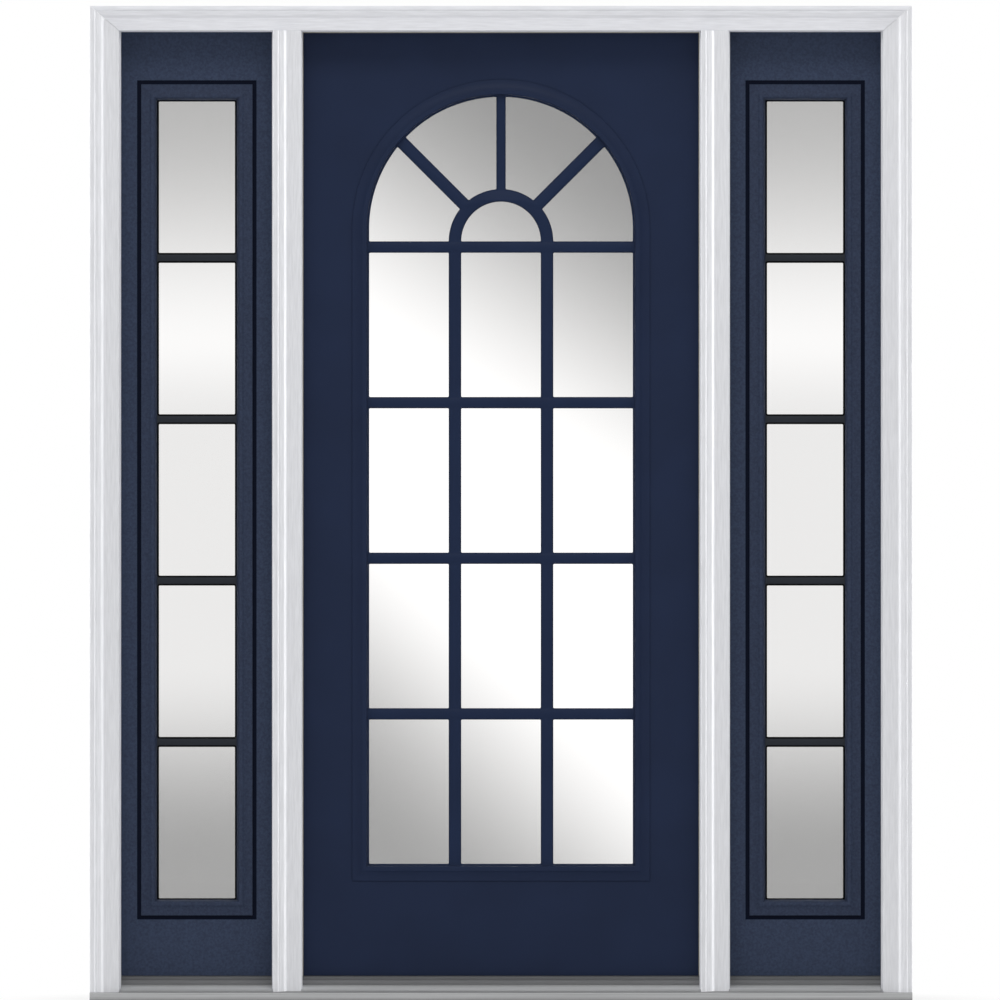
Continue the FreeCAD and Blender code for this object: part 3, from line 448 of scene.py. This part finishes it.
# Rubbery near-black
SWEEP = plain_finish("black vinyl sweep", "#15171B", roughness=0.55, spot=(3, 3, 3), depth=0.05)
# Warm grey metal with a soft, brushed shine, and heads a little darker than their plates
HINGE_METAL = drawn_metal("satin nickel hinge", "#B4B1AA", roughness=0.33, dark=0.93, light=1.04)
SCREW_METAL = drawn_metal("satin nickel screw", "#A9A59D", roughness=0.3, dark=0.9, light=1.08)
# A dark sheet in the screws' crosses that stands for their shadow: painted shadow
PAINTED_CROSS_SHADOW = plain_finish("painted shadow in a screw's cross", "#24221F", roughness=0.7, spot=(1, 1, 1), depth=0.02)

SLOT_FINISH = {
    "leaf_wood": EDGE_WOOD,
    "foam_core": FOAM,
    "door_paint": NAVY_DOOR,
    "panel_paint": NAVY_PANEL,
    "lite_frame_paint": NAVY_DOOR,
    "bar_paint": NAVY_BARS,
    "glass": GLASS,
    "sill_metal": SILL_METAL,
    "sill_base": SUBSTRATE,
    "cap": CAP,
    "seal": SEAL,
    "sweep_rubber": SWEEP,
    "hinge_metal": HINGE_METAL,
}
BOARD_TRIM = {
    "left_jamb": TRIM_JAMB,
    "right_jamb": TRIM_JAMB,
    "head_jamb": TRIM_HEAD_JAMB,
    "head_casing": TRIM_LEVEL,
}


def dress_nodes():
    """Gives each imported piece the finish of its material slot, and each white board its own paint."""
    for part in frame["record"]["subparts"]:
        name, slot = part["node"], part["material_slot"]
        skin = SLOT_FINISH.get(slot, BOARD_TRIM.get(name, TRIM_UPRIGHT))
        materials = frame["nodes"][name].data.materials
        if len(materials) == 0:
            materials.append(skin)
        for number in range(len(materials)):
            materials[number] = skin


def quads(rows, columns, round_rows=False, round_columns=False):
    """The four corners of every cell of a grid of points, closed up in a direction that goes round."""
    down = np.arange(rows if round_rows else rows - 1)
    across = np.arange(columns if round_columns else columns - 1)
    i, j = np.meshgrid(down, across, indexing="ij")
    below, beside = (i + 1) % rows, (j + 1) % columns
    corners = [i * columns + j, below * columns + j, below * columns + beside, i * columns + beside]
    return np.stack(corners, -1).reshape(-1, 4)


def build(name, body, parts, finishes, replaced=()):
    """One piece from its parts. A part is points in millimetres, faces on them and the number of its
    finish. Points that meet are merged, and the faces are turned outwards."""
    points = np.vstack([part[0] for part in parts]) * MM
    faces, numbers, start = [], [], 0
    for corners, polygons, number in parts:
        faces += [[corner + start for corner in polygon] for polygon in np.asarray(polygons).tolist()]
        numbers += [number] * len(polygons)
        start += len(corners)
    mesh = bpy.data.meshes.new(name)
    mesh.from_pydata(points.tolist(), [], faces)
    mesh.polygons.foreach_set("material_index", numbers)
    shell = bmesh.new()
    shell.from_mesh(mesh)
    bmesh.ops.remove_doubles(shell, verts=shell.verts, dist=WELD * MM)
    bmesh.ops.recalc_face_normals(shell, faces=shell.faces)
    shell.to_mesh(mesh)
    shell.free()
    mesh.shade_smooth()
    mesh.set_sharp_from_angle(angle=SMOOTH_ANGLE)
    for skin in finishes:
        mesh.materials.append(skin)
    piece = bpy.data.objects.new(name, mesh)
    bpy.context.scene.collection.objects.link(piece)
    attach(piece, body)
    if replaced:
        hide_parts(*replaced)


def eased(corners, radius):
    """A closed outline with each corner turned into an arc of its radius, tangent to both its sides: the
    arc's centre lies on the corner's bisector at radius / sin(half the corner's angle)."""
    p = np.asarray(corners, float)
    r = np.broadcast_to(np.asarray(radius, float), len(p)).reshape(-1, 1)
    back = np.roll(p, 1, 0) - p
    ahead = np.roll(p, -1, 0) - p
    back /= np.linalg.norm(back, axis=1, keepdims=True)
    ahead /= np.linalg.norm(ahead, axis=1, keepdims=True)
    half = np.arccos(np.clip((back * ahead).sum(1, keepdims=True), -1, 1)) / 2
    middle = back + ahead
    middle /= np.maximum(np.linalg.norm(middle, axis=1, keepdims=True), TINY)
    centre = middle * r / np.sin(half)
    spoke = back * r / np.tan(half) - centre
    side = np.sign(ahead[:, :1] * back[:, 1:] - ahead[:, 1:] * back[:, :1])
    turn = side * (np.pi - 2 * half) * np.linspace(0, 1, EASE_STEPS + 1)
    across = spoke[:, :1] * np.cos(turn) - spoke[:, 1:] * np.sin(turn)
    up = spoke[:, :1] * np.sin(turn) + spoke[:, 1:] * np.cos(turn)
    path = ((p + centre)[:, None] + np.stack([across, up], -1)).reshape(-1, 2)
    return path[np.linalg.norm(path - np.roll(path, 1, 0), axis=1) > SHORTEST]


def outward(loop):
    """How a point of a counter-clockwise outline moves when the outline grows by 1: along the sum of its
    two edges' normals, longer where they turn."""
    edge = np.roll(loop, -1, 0) - loop
    edge /= np.linalg.norm(edge, axis=1, keepdims=True)
    normal = np.stack([edge[:, 1], -edge[:, 0]], 1)
    before = np.roll(normal, 1, 0)
    return (normal + before) / (1 + (normal * before).sum(1, keepdims=True))


def arch_ring(half, low, spring):
    """The edge of arched glass, counter-clockwise: two square corners, two sides and a half circle. With
    it come the directions in which its points move when it grows."""
    turn = np.linspace(0, np.pi, ARCH_STEPS + 1)
    top = np.stack([half * np.cos(turn), spring + half * np.sin(turn)], 1)
    ring = np.vstack([[(-half, low), (half, low)], top])
    out = np.vstack([[(-1, -1), (1, -1)], (top - (0, spring)) / half])
    return ring, out


def square_ring(half, low, high):
    """The edge of rectangular glass, counter-clockwise, with its mitre directions."""
    sides = np.array([(-1, -1), (1, -1), (1, 1), (-1, 1)], float)
    return np.array([(-half, low), (half, low), (half, high), (-half, high)], float), sides


def stand(flat, depth, middle, side):
    """Points of an elevation set in the wall: across from the middle, depth millimetres off its plane, and
    up. side is -1 for the outside face and 1 for the inside."""
    depth = np.broadcast_to(depth, flat.shape[:-1])
    places = [flat[..., 0] + middle[0], middle[1] + side * depth, flat[..., 1]]
    return np.stack(places, -1).reshape(-1, 3)


def carried(section, ring, middle, side):
    """A closed section carried round a ring: each of the ring's points goes outwards by the section's first
    number and off the plane by its second."""
    edge, out = ring
    flat = edge[None] + out[None] * section[:, None, :1]
    points = stand(flat, section[:, 1:], middle, side)
    return points, quads(len(section), len(edge), True, True)


def sheet(outline, near, far, middle, side, number):
    """A flat sheet with square edges between two depths, as parts of one finish: its walls and its faces."""
    count = len(outline)
    points = np.vstack([stand(outline, depth, middle, side) for depth in (near, far)])
    faces = [list(range(count)), list(range(count, count * 2))]
    return [(points, quads(2, count, False, True), number), (points, faces, number)]


def pierced(outline, holes, steps, middle, side):
    """Glazing bars in one plate. Each pane's wall is its outline grown by the first number of every step,
    at the depth of its second, from the glass up to the face of the bars."""
    growth, depth = np.array(steps, float).T
    parts = []
    feet, rims = [outline], [outline]
    for hole in holes:
        rings = hole[None] + outward(hole)[None] * growth[:, None, None]
        wall = stand(rings, depth[:, None], middle, side)
        parts.append((wall, quads(len(steps), len(hole), False, True), 1))
        feet.append(rings[0])
        rims.append(rings[-1])
    for loops, level in ((feet, depth[0]), (rims, depth[-1])):
        corners = [[Vector((*point, 0.0)) for point in loop] for loop in loops]
        parts.append((stand(np.vstack(loops), level, middle, side), tessellate_polygon(corners), 0))
    edge = np.vstack([stand(outline, level, middle, side) for level in (depth[0], depth[-1])])
    parts.append((edge, quads(2, len(outline), False, True), 0))
    return parts


def square_hole(left, low, right, high):
    """The outline of a rectangular pane, whose corners the paint has rounded."""
    return eased([(left, low), (right, low), (right, high), (left, high)], PANE_CORNER)


def ray_edge(turn, offset, centre, hub, rim_centre, rim):
    """The two ends of a ray's edge: the line at turn from the level, offset to its left, from the circle of
    radius hub about the fan's centre to the circle of radius rim about the arch's."""
    along = np.array([math.cos(turn), math.sin(turn)])
    base = centre + offset * np.array([-along[1], along[0]])
    ends = []
    for middle, radius in ((centre, hub), (rim_centre, rim)):
        gap = base - middle
        reach = -gap @ along + math.sqrt((gap @ along) ** 2 - gap @ gap + radius**2)
        ends.append(base + reach * along)
    return ends


def arc(centre, start, end, steps):
    """Points on the circle about centre from start to end, in equal turns."""
    first, last = (math.atan2(*(point - centre)[::-1]) for point in (start, end))
    turn = np.linspace(first, last, steps + 1)
    return centre + np.linalg.norm(start - centre) * np.stack([np.cos(turn), np.sin(turn)], 1)


def fan_hole(lower, upper, centre, hub, rim_centre, rim):
    """A pane of the fan between two edges, each (turn, offset): out along the lower one, round the arch,
    back along the upper one and round the hub. Where the lower edge is level, the pane first follows the
    glass's upright side to the spring of the arch."""
    near_low, far_low = ray_edge(*lower, centre, hub, rim_centre, rim)
    near_high, far_high = ray_edge(*upper, centre, hub, rim_centre, rim)
    outer = arc(rim_centre, far_low, far_high, FAN_STEPS // 2)
    if lower[0] == 0.0:
        spring = rim_centre + (rim, 0.0)
        outer = np.vstack([(rim, centre[1]), arc(rim_centre, spring, far_high, FAN_STEPS // 2)])
    inner = arc(centre, near_high, near_low, FAN_STEPS // 2)
    loop = np.vstack([outer, inner])
    radius = np.zeros(len(loop))
    radius[[0, len(outer) - 1, len(outer), len(loop) - 1]] = PANE_CORNER
    return eased(loop, radius)


def door_holes(half, low, top):
    """Outlines of the leaf's seventeen panes: twelve square ones, a half round one and four of the fan."""
    spring = top - half
    centre = np.array([0.0, spring - FAN_DROP])
    fan = (half * 2 + POST_BAR) / 6
    hub, inner = fan + POST_BAR / 2, fan - POST_BAR / 2
    pitch = (centre[1] - low) / LEVEL_BARS
    holes = []
    for row in range(LEVEL_BARS):
        foot = low + pitch * row
        for left, right in ((-half, -hub), (-inner, inner), (hub, half)):
            holes.append(square_hole(left, foot, right, foot + pitch - RAIL_BAR))
    dome = arc(centre, centre + (inner, 0.0), centre + (-inner, 0.0), FAN_STEPS)
    radius = np.zeros(len(dome))
    radius[[0, -1]] = PANE_CORNER
    holes.append(eased(dome, radius))
    place = (centre, hub, np.array([0.0, spring]), half)
    low_pane = fan_hole((0.0, 0.0), (RAY_TURN, -POST_BAR / 2), *place)
    high_pane = fan_hole((RAY_TURN, POST_BAR / 2), (math.pi / 2, -RAY_BAR / 2), *place)
    for pane in (low_pane, high_pane):
        holes += [pane, (pane * (-1, 1))[::-1]]
    return holes


def frame_section(edge_sizes, bar, skin, proud, glass):
    """The moulded lite frame's section, as distance outwards from the glass's edge and depth off the middle
    plane: a wall beside the bars, a slope, a chamfer, a level crown, and a cove that runs level into its
    edge. The cove's radius is drop / 2 + run * run / (drop * 2)."""
    rim, _, crown, chamfer = edge_sizes
    flange = skin + FRAME_EDGE
    drop = proud - flange
    run = LITE_FRAME_WIDTH - CROWN_END
    radius = drop / 2 + run * run / (drop * 2)
    turn = np.linspace(math.asin(run / radius), 0, COVE_STEPS + 1)
    cove = np.stack([LITE_FRAME_WIDTH - radius * np.sin(turn), flange + radius * (1 - np.cos(turn))], 1)
    corners = np.vstack([
        [(rim, glass), (rim, bar), (crown - chamfer, proud - chamfer), (crown, proud)],
        cove,
        [(LITE_FRAME_WIDTH, skin), (CUTOUT_LEG, skin), (CUTOUT_LEG, glass)],
    ])
    radii = np.zeros(len(corners))
    radii[2:5] = (chamfer / 3, chamfer, CROWN_EASE)
    radii[3 + len(cove)] = EDGE_EASE
    return eased(corners, radii)


def glaze(prefix, word, body, ring, holes, middle, skin, edge_sizes, paints):
    """Everything that belongs to one lite: two panes and their spacer, and on both faces the moulded frame
    and its bars. The paints are those of the frame, the bars' faces and the bars' walls."""
    frame_paint, bar_paint, wall_paint = paints
    rim, bevel = edge_sizes[:2]
    edge, out = ring
    name = prefix + word
    low, high = span(name + "_glass")
    glass = (high[1] - low[1]) / 2
    room = glass - PANE_THICK
    bite = (high[0] - low[0]) / 2 - edge[:, 0].max()
    outline = edge + out * bite
    panes = [part for face in (-1, 1) for part in sheet(outline, room, glass, middle, face, 0)]
    build(name + "_panes", body, panes, [GLASS], [name + "_glass"])
    low_edge, high_edge = bite - SPACER_HIGH, bite - SPACER_GAP
    spacer = np.array([(low_edge, -room), (low_edge, room), (high_edge, room), (high_edge, -room)])
    build(name + "_spacer", body, [(*carried(spacer, ring, middle, 1), 0)], [SPACER])
    bar = middle[1] - span(prefix + "grille_outside")[0][1]
    steps = [
        (0.0, glass),
        (0.0, bar - bevel - FOOT_DROP),
        (FOOT_TURN, bar - bevel),
        (bevel - CREST_BACK, bar - CREST_DROP),
        (bevel, bar),
    ]
    for side, face in ((-1, "outside"), (1, "inside")):
        node = prefix + "lite_frame_" + face
        low, high = span(node)
        proud = middle[1] - low[1] if side < 0 else high[1] - middle[1]
        section = frame_section(edge_sizes, bar, skin, proud, glass)
        parts = [(*carried(section, ring, middle, side), 0)]
        build(node + "_moulding", body, parts, [frame_paint], [node])
        node = prefix + "grille_" + face
        parts = pierced(edge + out * rim, holes, steps, middle, side)
        build(node + "_bars", body, parts, [bar_paint, wall_paint], [node])


def glaze_door():
    """The leaf's arched lite, whose glass edge is where its grille ends."""
    low, high = span("grille_outside")
    glass_low, glass_high = span("door_glass")
    half = high[0]
    middle = (0.0, (glass_low[1] + glass_high[1]) / 2)
    skin = middle[1] - span("skin_outside")[0][1]
    ring = arch_ring(half, low[2], high[2] - half)
    holes = door_holes(half, low[2], high[2])
    paints = (NAVY_DOOR, NAVY_BARS, NAVY_BARS)
    glaze("", "door", "leaf", ring, holes, middle, skin, DOOR_EDGE, paints)


def glaze_sidelight(side_word):
    """A sidelight's lite. Its panes reach under the frame's edge by the gasket's lap, which shows as a
    black line on the bars' walls."""
    prefix = side_word + "_"
    low, high = span(prefix + "lite_frame_outside")
    glass_low, glass_high = span(prefix + "sidelight_glass")
    panel_low, panel_high = span(prefix + "sidelight_panel")
    half = (high[0] - low[0]) / 2 - LITE_FRAME_WIDTH
    foot, head = low[2] + LITE_FRAME_WIDTH, high[2] - LITE_FRAME_WIDTH
    pitch = (head - foot + SIDE_BAR) / SIDE_PANES
    edge = half - GASKET_LAP
    feet = [foot + pitch * number for number in range(SIDE_PANES)]
    holes = [square_hole(-edge, low_edge, edge, low_edge + pitch - SIDE_BAR) for low_edge in feet]
    middle = ((low[0] + high[0]) / 2, (glass_low[1] + glass_high[1]) / 2)
    skin = (panel_high[1] - panel_low[1]) / 2
    ring = square_ring(half, foot, head)
    paints = (NAVY_SIDE_FRAME, CHARCOAL_BARS, GASKET)
    glaze(prefix, "sidelight", "frame", ring, holes, middle, skin, SIDE_EDGE, paints)


def casing_section(width):
    """The casing's section from its outer to its inner edge, as distance across and thickness. A thick band
    rounds down to a fillet as a quarter of an ellipse, a straight slope follows, and an ogee runs level
    into the flat: its height falls as (1 - cos(pi * t)) / 2 over its width."""
    turn = np.linspace(0, math.pi / 2, ROUND_STEPS + 1)
    round_over = np.stack([
        BAND_END + (ROUND_END - BAND_END) * np.sin(turn),
        FILLET_THICK + (BAND_THICK - FILLET_THICK) * np.cos(turn),
    ], 1)
    t = np.linspace(0, 1, OGEE_STEPS + 1)
    ogee = np.stack([
        SLOPE_END + (OGEE_END - SLOPE_END) * t,
        SLOPE_THICK - (SLOPE_THICK - FLAT_THICK) * (1 - np.cos(math.pi * t)) / 2,
    ], 1)
    corners = np.vstack([
        [(0.0, 0.0), (0.0, BAND_THICK)],
        round_over,
        [(FILLET_END, FILLET_THICK)],
        ogee,
        [(CASING_WIDTH, FLAT_THICK), (CASING_WIDTH, 0.0)],
    ])
    radii = np.zeros(len(corners))
    radii[[1, -2]] = (CASING_EASE, CASING_ARRIS)
    return eased(corners, radii) * (width / CASING_WIDTH, 1.0)


def prism(first, last):
    """A length of one section between two outlines of as many points: its walls and both its ends."""
    count = len(first)
    points = np.vstack([first, last])
    caps = [list(range(count)), list(range(count, count * 2))]
    return [(points, quads(2, count, False, True), 0), (points, caps, 0)]


def moulding(node, first, last, paint):
    """The casing that stands for a node, between its two end outlines, each given as across, depth and
    height."""
    ends = [np.stack(np.broadcast_arrays(*places), 1) for places in (first, last)]
    build(node + "_moulding", "frame", prism(*ends), [paint], [node])


def tread_height(depth):
    """Height of the sill's sloping tread at a depth: a straight line from its outer edge to the dam."""
    low, high = span("sill_deck")
    start, end = low[1] + NOSING_WIDE, high[1] - DAM_WIDE
    return TREAD_LOW + (depth - start) * (TREAD_HIGH - TREAD_LOW) / (end - start)


def make_casings():
    """Brick moulding round the frame, mitred at its upper corners with a hairline joint, and the casings on
    the mullions, cut to the tread's slope."""
    head_low, head_high = span("head_casing")
    face = head_high[1]
    head_width = head_high[2] - head_low[2]
    for word, side in (("left", -1), ("right", 1)):
        low, high = span(word + "_casing")
        width = high[0] - low[0]
        section = casing_section(width)
        x = (low[0] if side < 0 else high[0]) - side * section[:, 0]
        y = face - section[:, 1]
        mitre = high[2] - section[:, 0] * (head_width / width) - MITRE_GAP
        moulding(word + "_casing", (x, y, low[2]), (x, y, mitre), TRIM_UPRIGHT)
        low, high = span(word + "_mull_casing")
        section = casing_section(high[0] - low[0])
        x = low[0] + section[:, 0]
        y = face - section[:, 1]
        moulding(word + "_mull_casing", (x, y, tread_height(y)), (x, y, high[2]), TRIM_UPRIGHT)
    low, high = span("right_casing")
    side_width = high[0] - low[0]
    section = casing_section(head_width)
    y = face - section[:, 1]
    z = head_high[2] - section[:, 0]
    reach = head_high[0] - section[:, 0] * (side_width / head_width) - MITRE_GAP
    moulding("head_casing", (-reach, y, z), (reach, y, z), TRIM_LEVEL)


def along_bays(section):
    """A strip of one section, as depth and height, in each of the three bays between the uprights."""
    uprights = ("left_jamb", "left_mullion", "right_mullion", "right_jamb")
    parts = []
    for before, after in zip(uprights, uprights[1:]):
        left, right = span(before)[1][0] + BAY_CLEAR, span(after)[0][0] - BAY_CLEAR
        parts += prism(*(np.column_stack([np.full(len(section), x), section]) for x in (left, right)))
    return parts


def make_sill_strips():
    """Half round ribs along the tread, whose sections are height * sin(turn) over width * cos(turn) with
    their feet on the slope, and on the dam's face, one below the other, a black strip of painted shadow under
    the door and two rigid strips."""
    low, high = span("sill_deck")
    start, end = low[1] + NOSING_WIDE, high[1] - DAM_WIDE
    turn = np.linspace(0, math.pi, RIB_STEPS + 1)
    ribs = []
    for place in np.arange(start + RIB_PITCH, end - RIB_PITCH / 2, RIB_PITCH):
        y = place + RIB_WIDE / 2 * np.cos(turn)
        ribs += along_bays(np.stack([y, tread_height(y) + RIB_HIGH * np.sin(turn)], 1))
    build("sill_ribs", "frame", ribs, [SILL_METAL])
    top = high[2]
    # From the top down: a black line of painted shadow, a strip darkened partly by painted shade, and the
    # dam's face
    strips = (
        ("dam_shadow_line", SHADOW_LINE_HIGH, STRIP_THICK, SWEEP),
        ("dam_strip", STRIP_HIGH, STRIP_THICK, DAM_STRIP),
        ("dam_face", FACE_HIGH, FACE_THICK, DAM_FACE),
    )
    for name, tall, thick, paint in strips:
        front, back, foot = end - thick / 2, end + thick / 2, top - tall
        corners = [(front, foot), (back, foot), (back, top), (front, top)]
        strip = eased(corners, (STRIP_EASE, 0, 0, STRIP_EASE))
        build(name, "frame", along_bays(strip), [paint])
        top = foot - STRIP_EASE


def screw_head():
    """A flat round head with a cross let into it, as across, depth and height from its middle, over a dark
    sheet that shows through the cross as its painted shadow. The cross is one arm's three corners, turned by
    a quarter three times."""
    turn = np.arange(SCREW_STEPS) * math.tau / SCREW_STEPS
    rim = np.stack([np.cos(turn), np.sin(turn)], 1) * SCREW_RADIUS
    arm = np.array([(CROSS_HALF, CROSS_HALF), (CROSS_HALF, CROSS_REACH), (-CROSS_HALF, CROSS_REACH)])
    quarter = np.array([(0, 1), (-1, 0)])
    cross = np.vstack([arm @ np.linalg.matrix_power(quarter, number) for number in range(4)])
    head = pierced(rim, [cross], [(0.0, SCREW_FOOT), (0.0, SCREW_PROUD)], (0.0, 0.0), 1)
    # The dark sheet under the cross is its painted shadow
    bottom = sheet(rim * SHADOW_SHEET_SHARE, SHADOW_SHEET_FOOT, SHADOW_SHEET_TOP, (0.0, 0.0), 1, 1)
    return [(points, faces, 0) for points, faces, _ in head] + bottom


def make_hinge_screws():
    """Four countersunk heads in every hinge plate, on the jamb's plates and on the door's."""
    low, high = span("hinge_door_leaves")
    door_edge = span("hinge_stile")[0][0]
    pins_low, pins_high = span("hinge_pins")
    jamb_edge = pins_low[0] + pins_high[0] - door_edge
    feet = np.linspace(low[2], high[2] - HINGE_HIGH, HINGES)
    head = screw_head()
    for word, body, face, turn in (("door", "leaf", door_edge, -1), ("jamb", "frame", jamb_edge, 1)):
        screws = []
        for foot in feet:
            for forward, up in SCREW_PLACES:
                for points, faces, number in head:
                    x = face + points[:, 1] * turn
                    y = low[1] + forward + points[:, 0]
                    screws.append((np.stack([x, y, foot + up + points[:, 2]], 1), faces, number))
        build("hinge_" + word + "_screws", body, screws, [SCREW_METAL, PAINTED_CROSS_SHADOW])


def camera_place():
    """How far the camera stands off the wall's plane, and its height, in metres. At this distance the lens
    shows the photograph's width where the casings are."""
    width = PICTURE * MM_PER_PIXEL * MM
    away = width * LENS / SENSOR - PICTURE_PLANE
    return away, (FOOT_PIXEL - PICTURE / 2) * MM_PER_PIXEL * MM


def make_camera():
    """A long lens square to the front, as far back as the photograph's scale asks."""
    away, eye = camera_place()
    view = bpy.data.cameras.new("front_camera")
    view.lens = LENS
    view.sensor_width = SENSOR
    view.clip_end = away * SIGHT
    camera = bpy.data.objects.new("front_camera", view)
    camera.location = ((PICTURE / 2 - MIDDLE_PIXEL) * MM_PER_PIXEL * MM, -away, eye)
    camera.rotation_euler = (math.pi / 2, 0, 0)
    bpy.context.scene.collection.objects.link(camera)
    bpy.context.scene.camera = camera


def soft_box(name, place, aim, size, power):
    """A rectangular light at place that faces aim."""
    lamp = bpy.data.lights.new(name, "AREA")
    lamp.shape = "RECTANGLE"
    lamp.size, lamp.size_y = size
    lamp.energy = power
    box = bpy.data.objects.new(name, lamp)
    box.location = place
    box.rotation_euler = (Vector(aim) - Vector(place)).to_track_quat("-Z", "Y").to_euler()
    bpy.context.scene.collection.objects.link(box)


def make_lights():
    """Tall strips far out on both sides, which graze the front and catch the slopes of the mouldings, a high
    box that lights the front evenly, and a small one for the back."""
    out, front, high = STRIP_PLACE
    soft_box("left_strip", (-out, front, high), FRONT_AIM, STRIP_SIZE, STRIP_POWER)
    soft_box("right_strip", (out, front, high), FRONT_AIM, STRIP_SIZE, STRIP_POWER)
    soft_box("front_soft_box", FRONT_PLACE, FRONT_AIM, FRONT_SIZE, FRONT_POWER)
    soft_box("back_soft_box", BACK_PLACE, BACK_AIM, BACK_SIZE, BACK_POWER)


def flat_stage(name, corners, material):
    """One flat face that isn't part of the object."""
    mesh = bpy.data.meshes.new(name)
    mesh.from_pydata(corners, [], [(0, 1, 2, 3)])
    mesh.materials.append(material)
    piece = bpy.data.objects.new(name, mesh)
    bpy.context.scene.collection.objects.link(piece)
    return piece


def bare_tree(owner):
    """The empty node tree of a material or world."""
    owner.use_nodes = True
    owner.node_tree.nodes.clear()
    return owner.node_tree


def seen_directly(tree):
    """1 on the rays of the camera and on those that it sends through glass, and 0 on the rays of the
    light."""
    path = add(tree, "ShaderNodeLightPath").outputs
    values = {0: path["Is Camera Ray"], 1: path["Is Transmission Ray"]}
    return add(tree, "ShaderNodeMath", values, operation="MAXIMUM").outputs["Value"]


def make_floor():
    """A pale studio floor that turns into even white away from the object."""
    material = bpy.data.materials.new("pale studio floor")
    tree = bare_tree(material)
    where = add(tree, "ShaderNodeTexCoord").outputs["Object"]
    reach = add(tree, "ShaderNodeVectorMath", {0: where}, operation="LENGTH").outputs["Value"]
    near, far = FLOOR_FADE
    values = {"Value": reach, "From Min": near, "From Max": far, "To Min": FLOOR_GLOW}
    fade = add(tree, "ShaderNodeMapRange", values, interpolation_type="SMOOTHSTEP").outputs["Result"]
    values = {0: fade, 1: seen_directly(tree)}
    share = add(tree, "ShaderNodeMath", values, operation="MULTIPLY").outputs["Value"]
    matt = add(tree, "ShaderNodeBsdfDiffuse", {"Color": linear(FLOOR_GREY)}).outputs["BSDF"]
    white = add(tree, "ShaderNodeEmission", {"Strength": 1.0}).outputs["Emission"]
    mixed = add(tree, "ShaderNodeMixShader", {0: share, 1: matt, 2: white}).outputs["Shader"]
    add(tree, "ShaderNodeOutputMaterial", {"Surface": mixed})
    r = FLOOR_REACH
    flat_stage("floor", [(-r, -r, 0), (r, -r, 0), (r, r, 0), (-r, r, 0)], material)


def greys(tree, place, falls):
    """Falls of grey laid over each other: their product. Each goes from its first grey to its second between
    two places along a direction that leans from the upright, smooth at both ends."""
    shade = 1.0
    for turn, (start, end), (first, last) in falls:
        values = {0: place, 1: (math.sin(turn), 0, math.cos(turn))}
        along = add(tree, "ShaderNodeVectorMath", values, operation="DOT_PRODUCT").outputs["Value"]
        values = {"Value": along, "From Min": start, "From Max": end, "To Min": first, "To Max": last}
        grey = add(tree, "ShaderNodeMapRange", values, interpolation_type="SMOOTHSTEP").outputs["Result"]
        values = {0: shade, 1: grey}
        shade = add(tree, "ShaderNodeMath", values, operation="MULTIPLY").outputs["Value"]
    return shade


def make_glow_card():
    """A large card behind the unit, seen only through its glass: its slanting and level falls of grey are
    what the panes show. Places on it are scaled to where the camera sees them on the wall's plane."""
    material = bpy.data.materials.new("studio card behind the glass")
    tree = bare_tree(material)
    where = add(tree, "ShaderNodeTexCoord").outputs["Object"]
    away, eye = camera_place()
    nearer = (PICTURE_PLANE + away) / (CARD_BACK + away)
    values = {"Vector": where, "Location": (0, 0, eye * (1 - nearer)), "Scale": (nearer, 1, nearer)}
    place = add(tree, "ShaderNodeMapping", values).outputs["Vector"]
    across = add(tree, "ShaderNodeSeparateXYZ", {"Vector": place}).outputs["X"]
    door = greys(tree, place, DOOR_FALLS)
    side = greys(tree, place, SIDE_FALLS)
    aside = add(tree, "ShaderNodeMath", {0: across}, operation="ABSOLUTE").outputs["Value"]
    values = {"Value": aside, "From Min": DOOR_HALF, "From Max": SIDE_START}
    beside = add(tree, "ShaderNodeMapRange", values).outputs["Result"]
    grey = add(tree, "ShaderNodeMix", {"Factor": beside, "A": door, "B": side}).outputs["Result"]
    above = greys(tree, place, [CARD_FOOT])
    grey = add(tree, "ShaderNodeMix", {"Factor": above, "A": 1.0, "B": grey}).outputs["Result"]
    values = {0: grey, 1: SCREEN_POWER}
    bright = add(tree, "ShaderNodeMath", values, operation="POWER").outputs["Value"]
    values = {0: bright, 1: 1 / GLASS_PASSES, 2: -GLASS_MIRRORS / GLASS_PASSES}
    strength = add(tree, "ShaderNodeMath", values, operation="MULTIPLY_ADD").outputs["Value"]
    values = {"Color": linear(CARD_TINT), "Strength": strength}
    glow = add(tree, "ShaderNodeEmission", values).outputs["Emission"]
    add(tree, "ShaderNodeOutputMaterial", {"Surface": glow})
    r, back, low = CARD_REACH, CARD_BACK, CARD_LOW
    card = flat_stage("glow_card", [(-r, back, low), (r, back, low), (r, back, r), (-r, back, r)], material)
    card.visible_camera = card.visible_diffuse = card.visible_glossy = False
    card.visible_shadow = card.visible_volume_scatter = False


def make_world():
    """White where the camera and the glass look past the object, and a dimmer even room for its light."""
    world = bpy.data.worlds.new("white studio")
    bpy.context.scene.world = world
    tree = bare_tree(world)
    values = {"Color": (1, 1, 1, 1), "Strength": ROOM_LIGHT}
    room = add(tree, "ShaderNodeBackground", values).outputs["Background"]
    values = {"Color": (1, 1, 1, 1), "Strength": 1.0}
    white = add(tree, "ShaderNodeBackground", values).outputs["Background"]
    mixed = add(tree, "ShaderNodeMixShader", {0: seen_directly(tree), 1: room, 2: white}).outputs["Shader"]
    add(tree, "ShaderNodeOutputWorld", {"Surface": mixed})


make_camera()
bpy.context.scene.view_settings.view_transform = "Standard"
make_world()
make_floor()
make_glow_card()
make_lights()

dress_nodes()
glaze_door()
glaze_sidelight("left")
glaze_sidelight("right")
make_casings()
make_sill_strips()
make_hinge_screws()
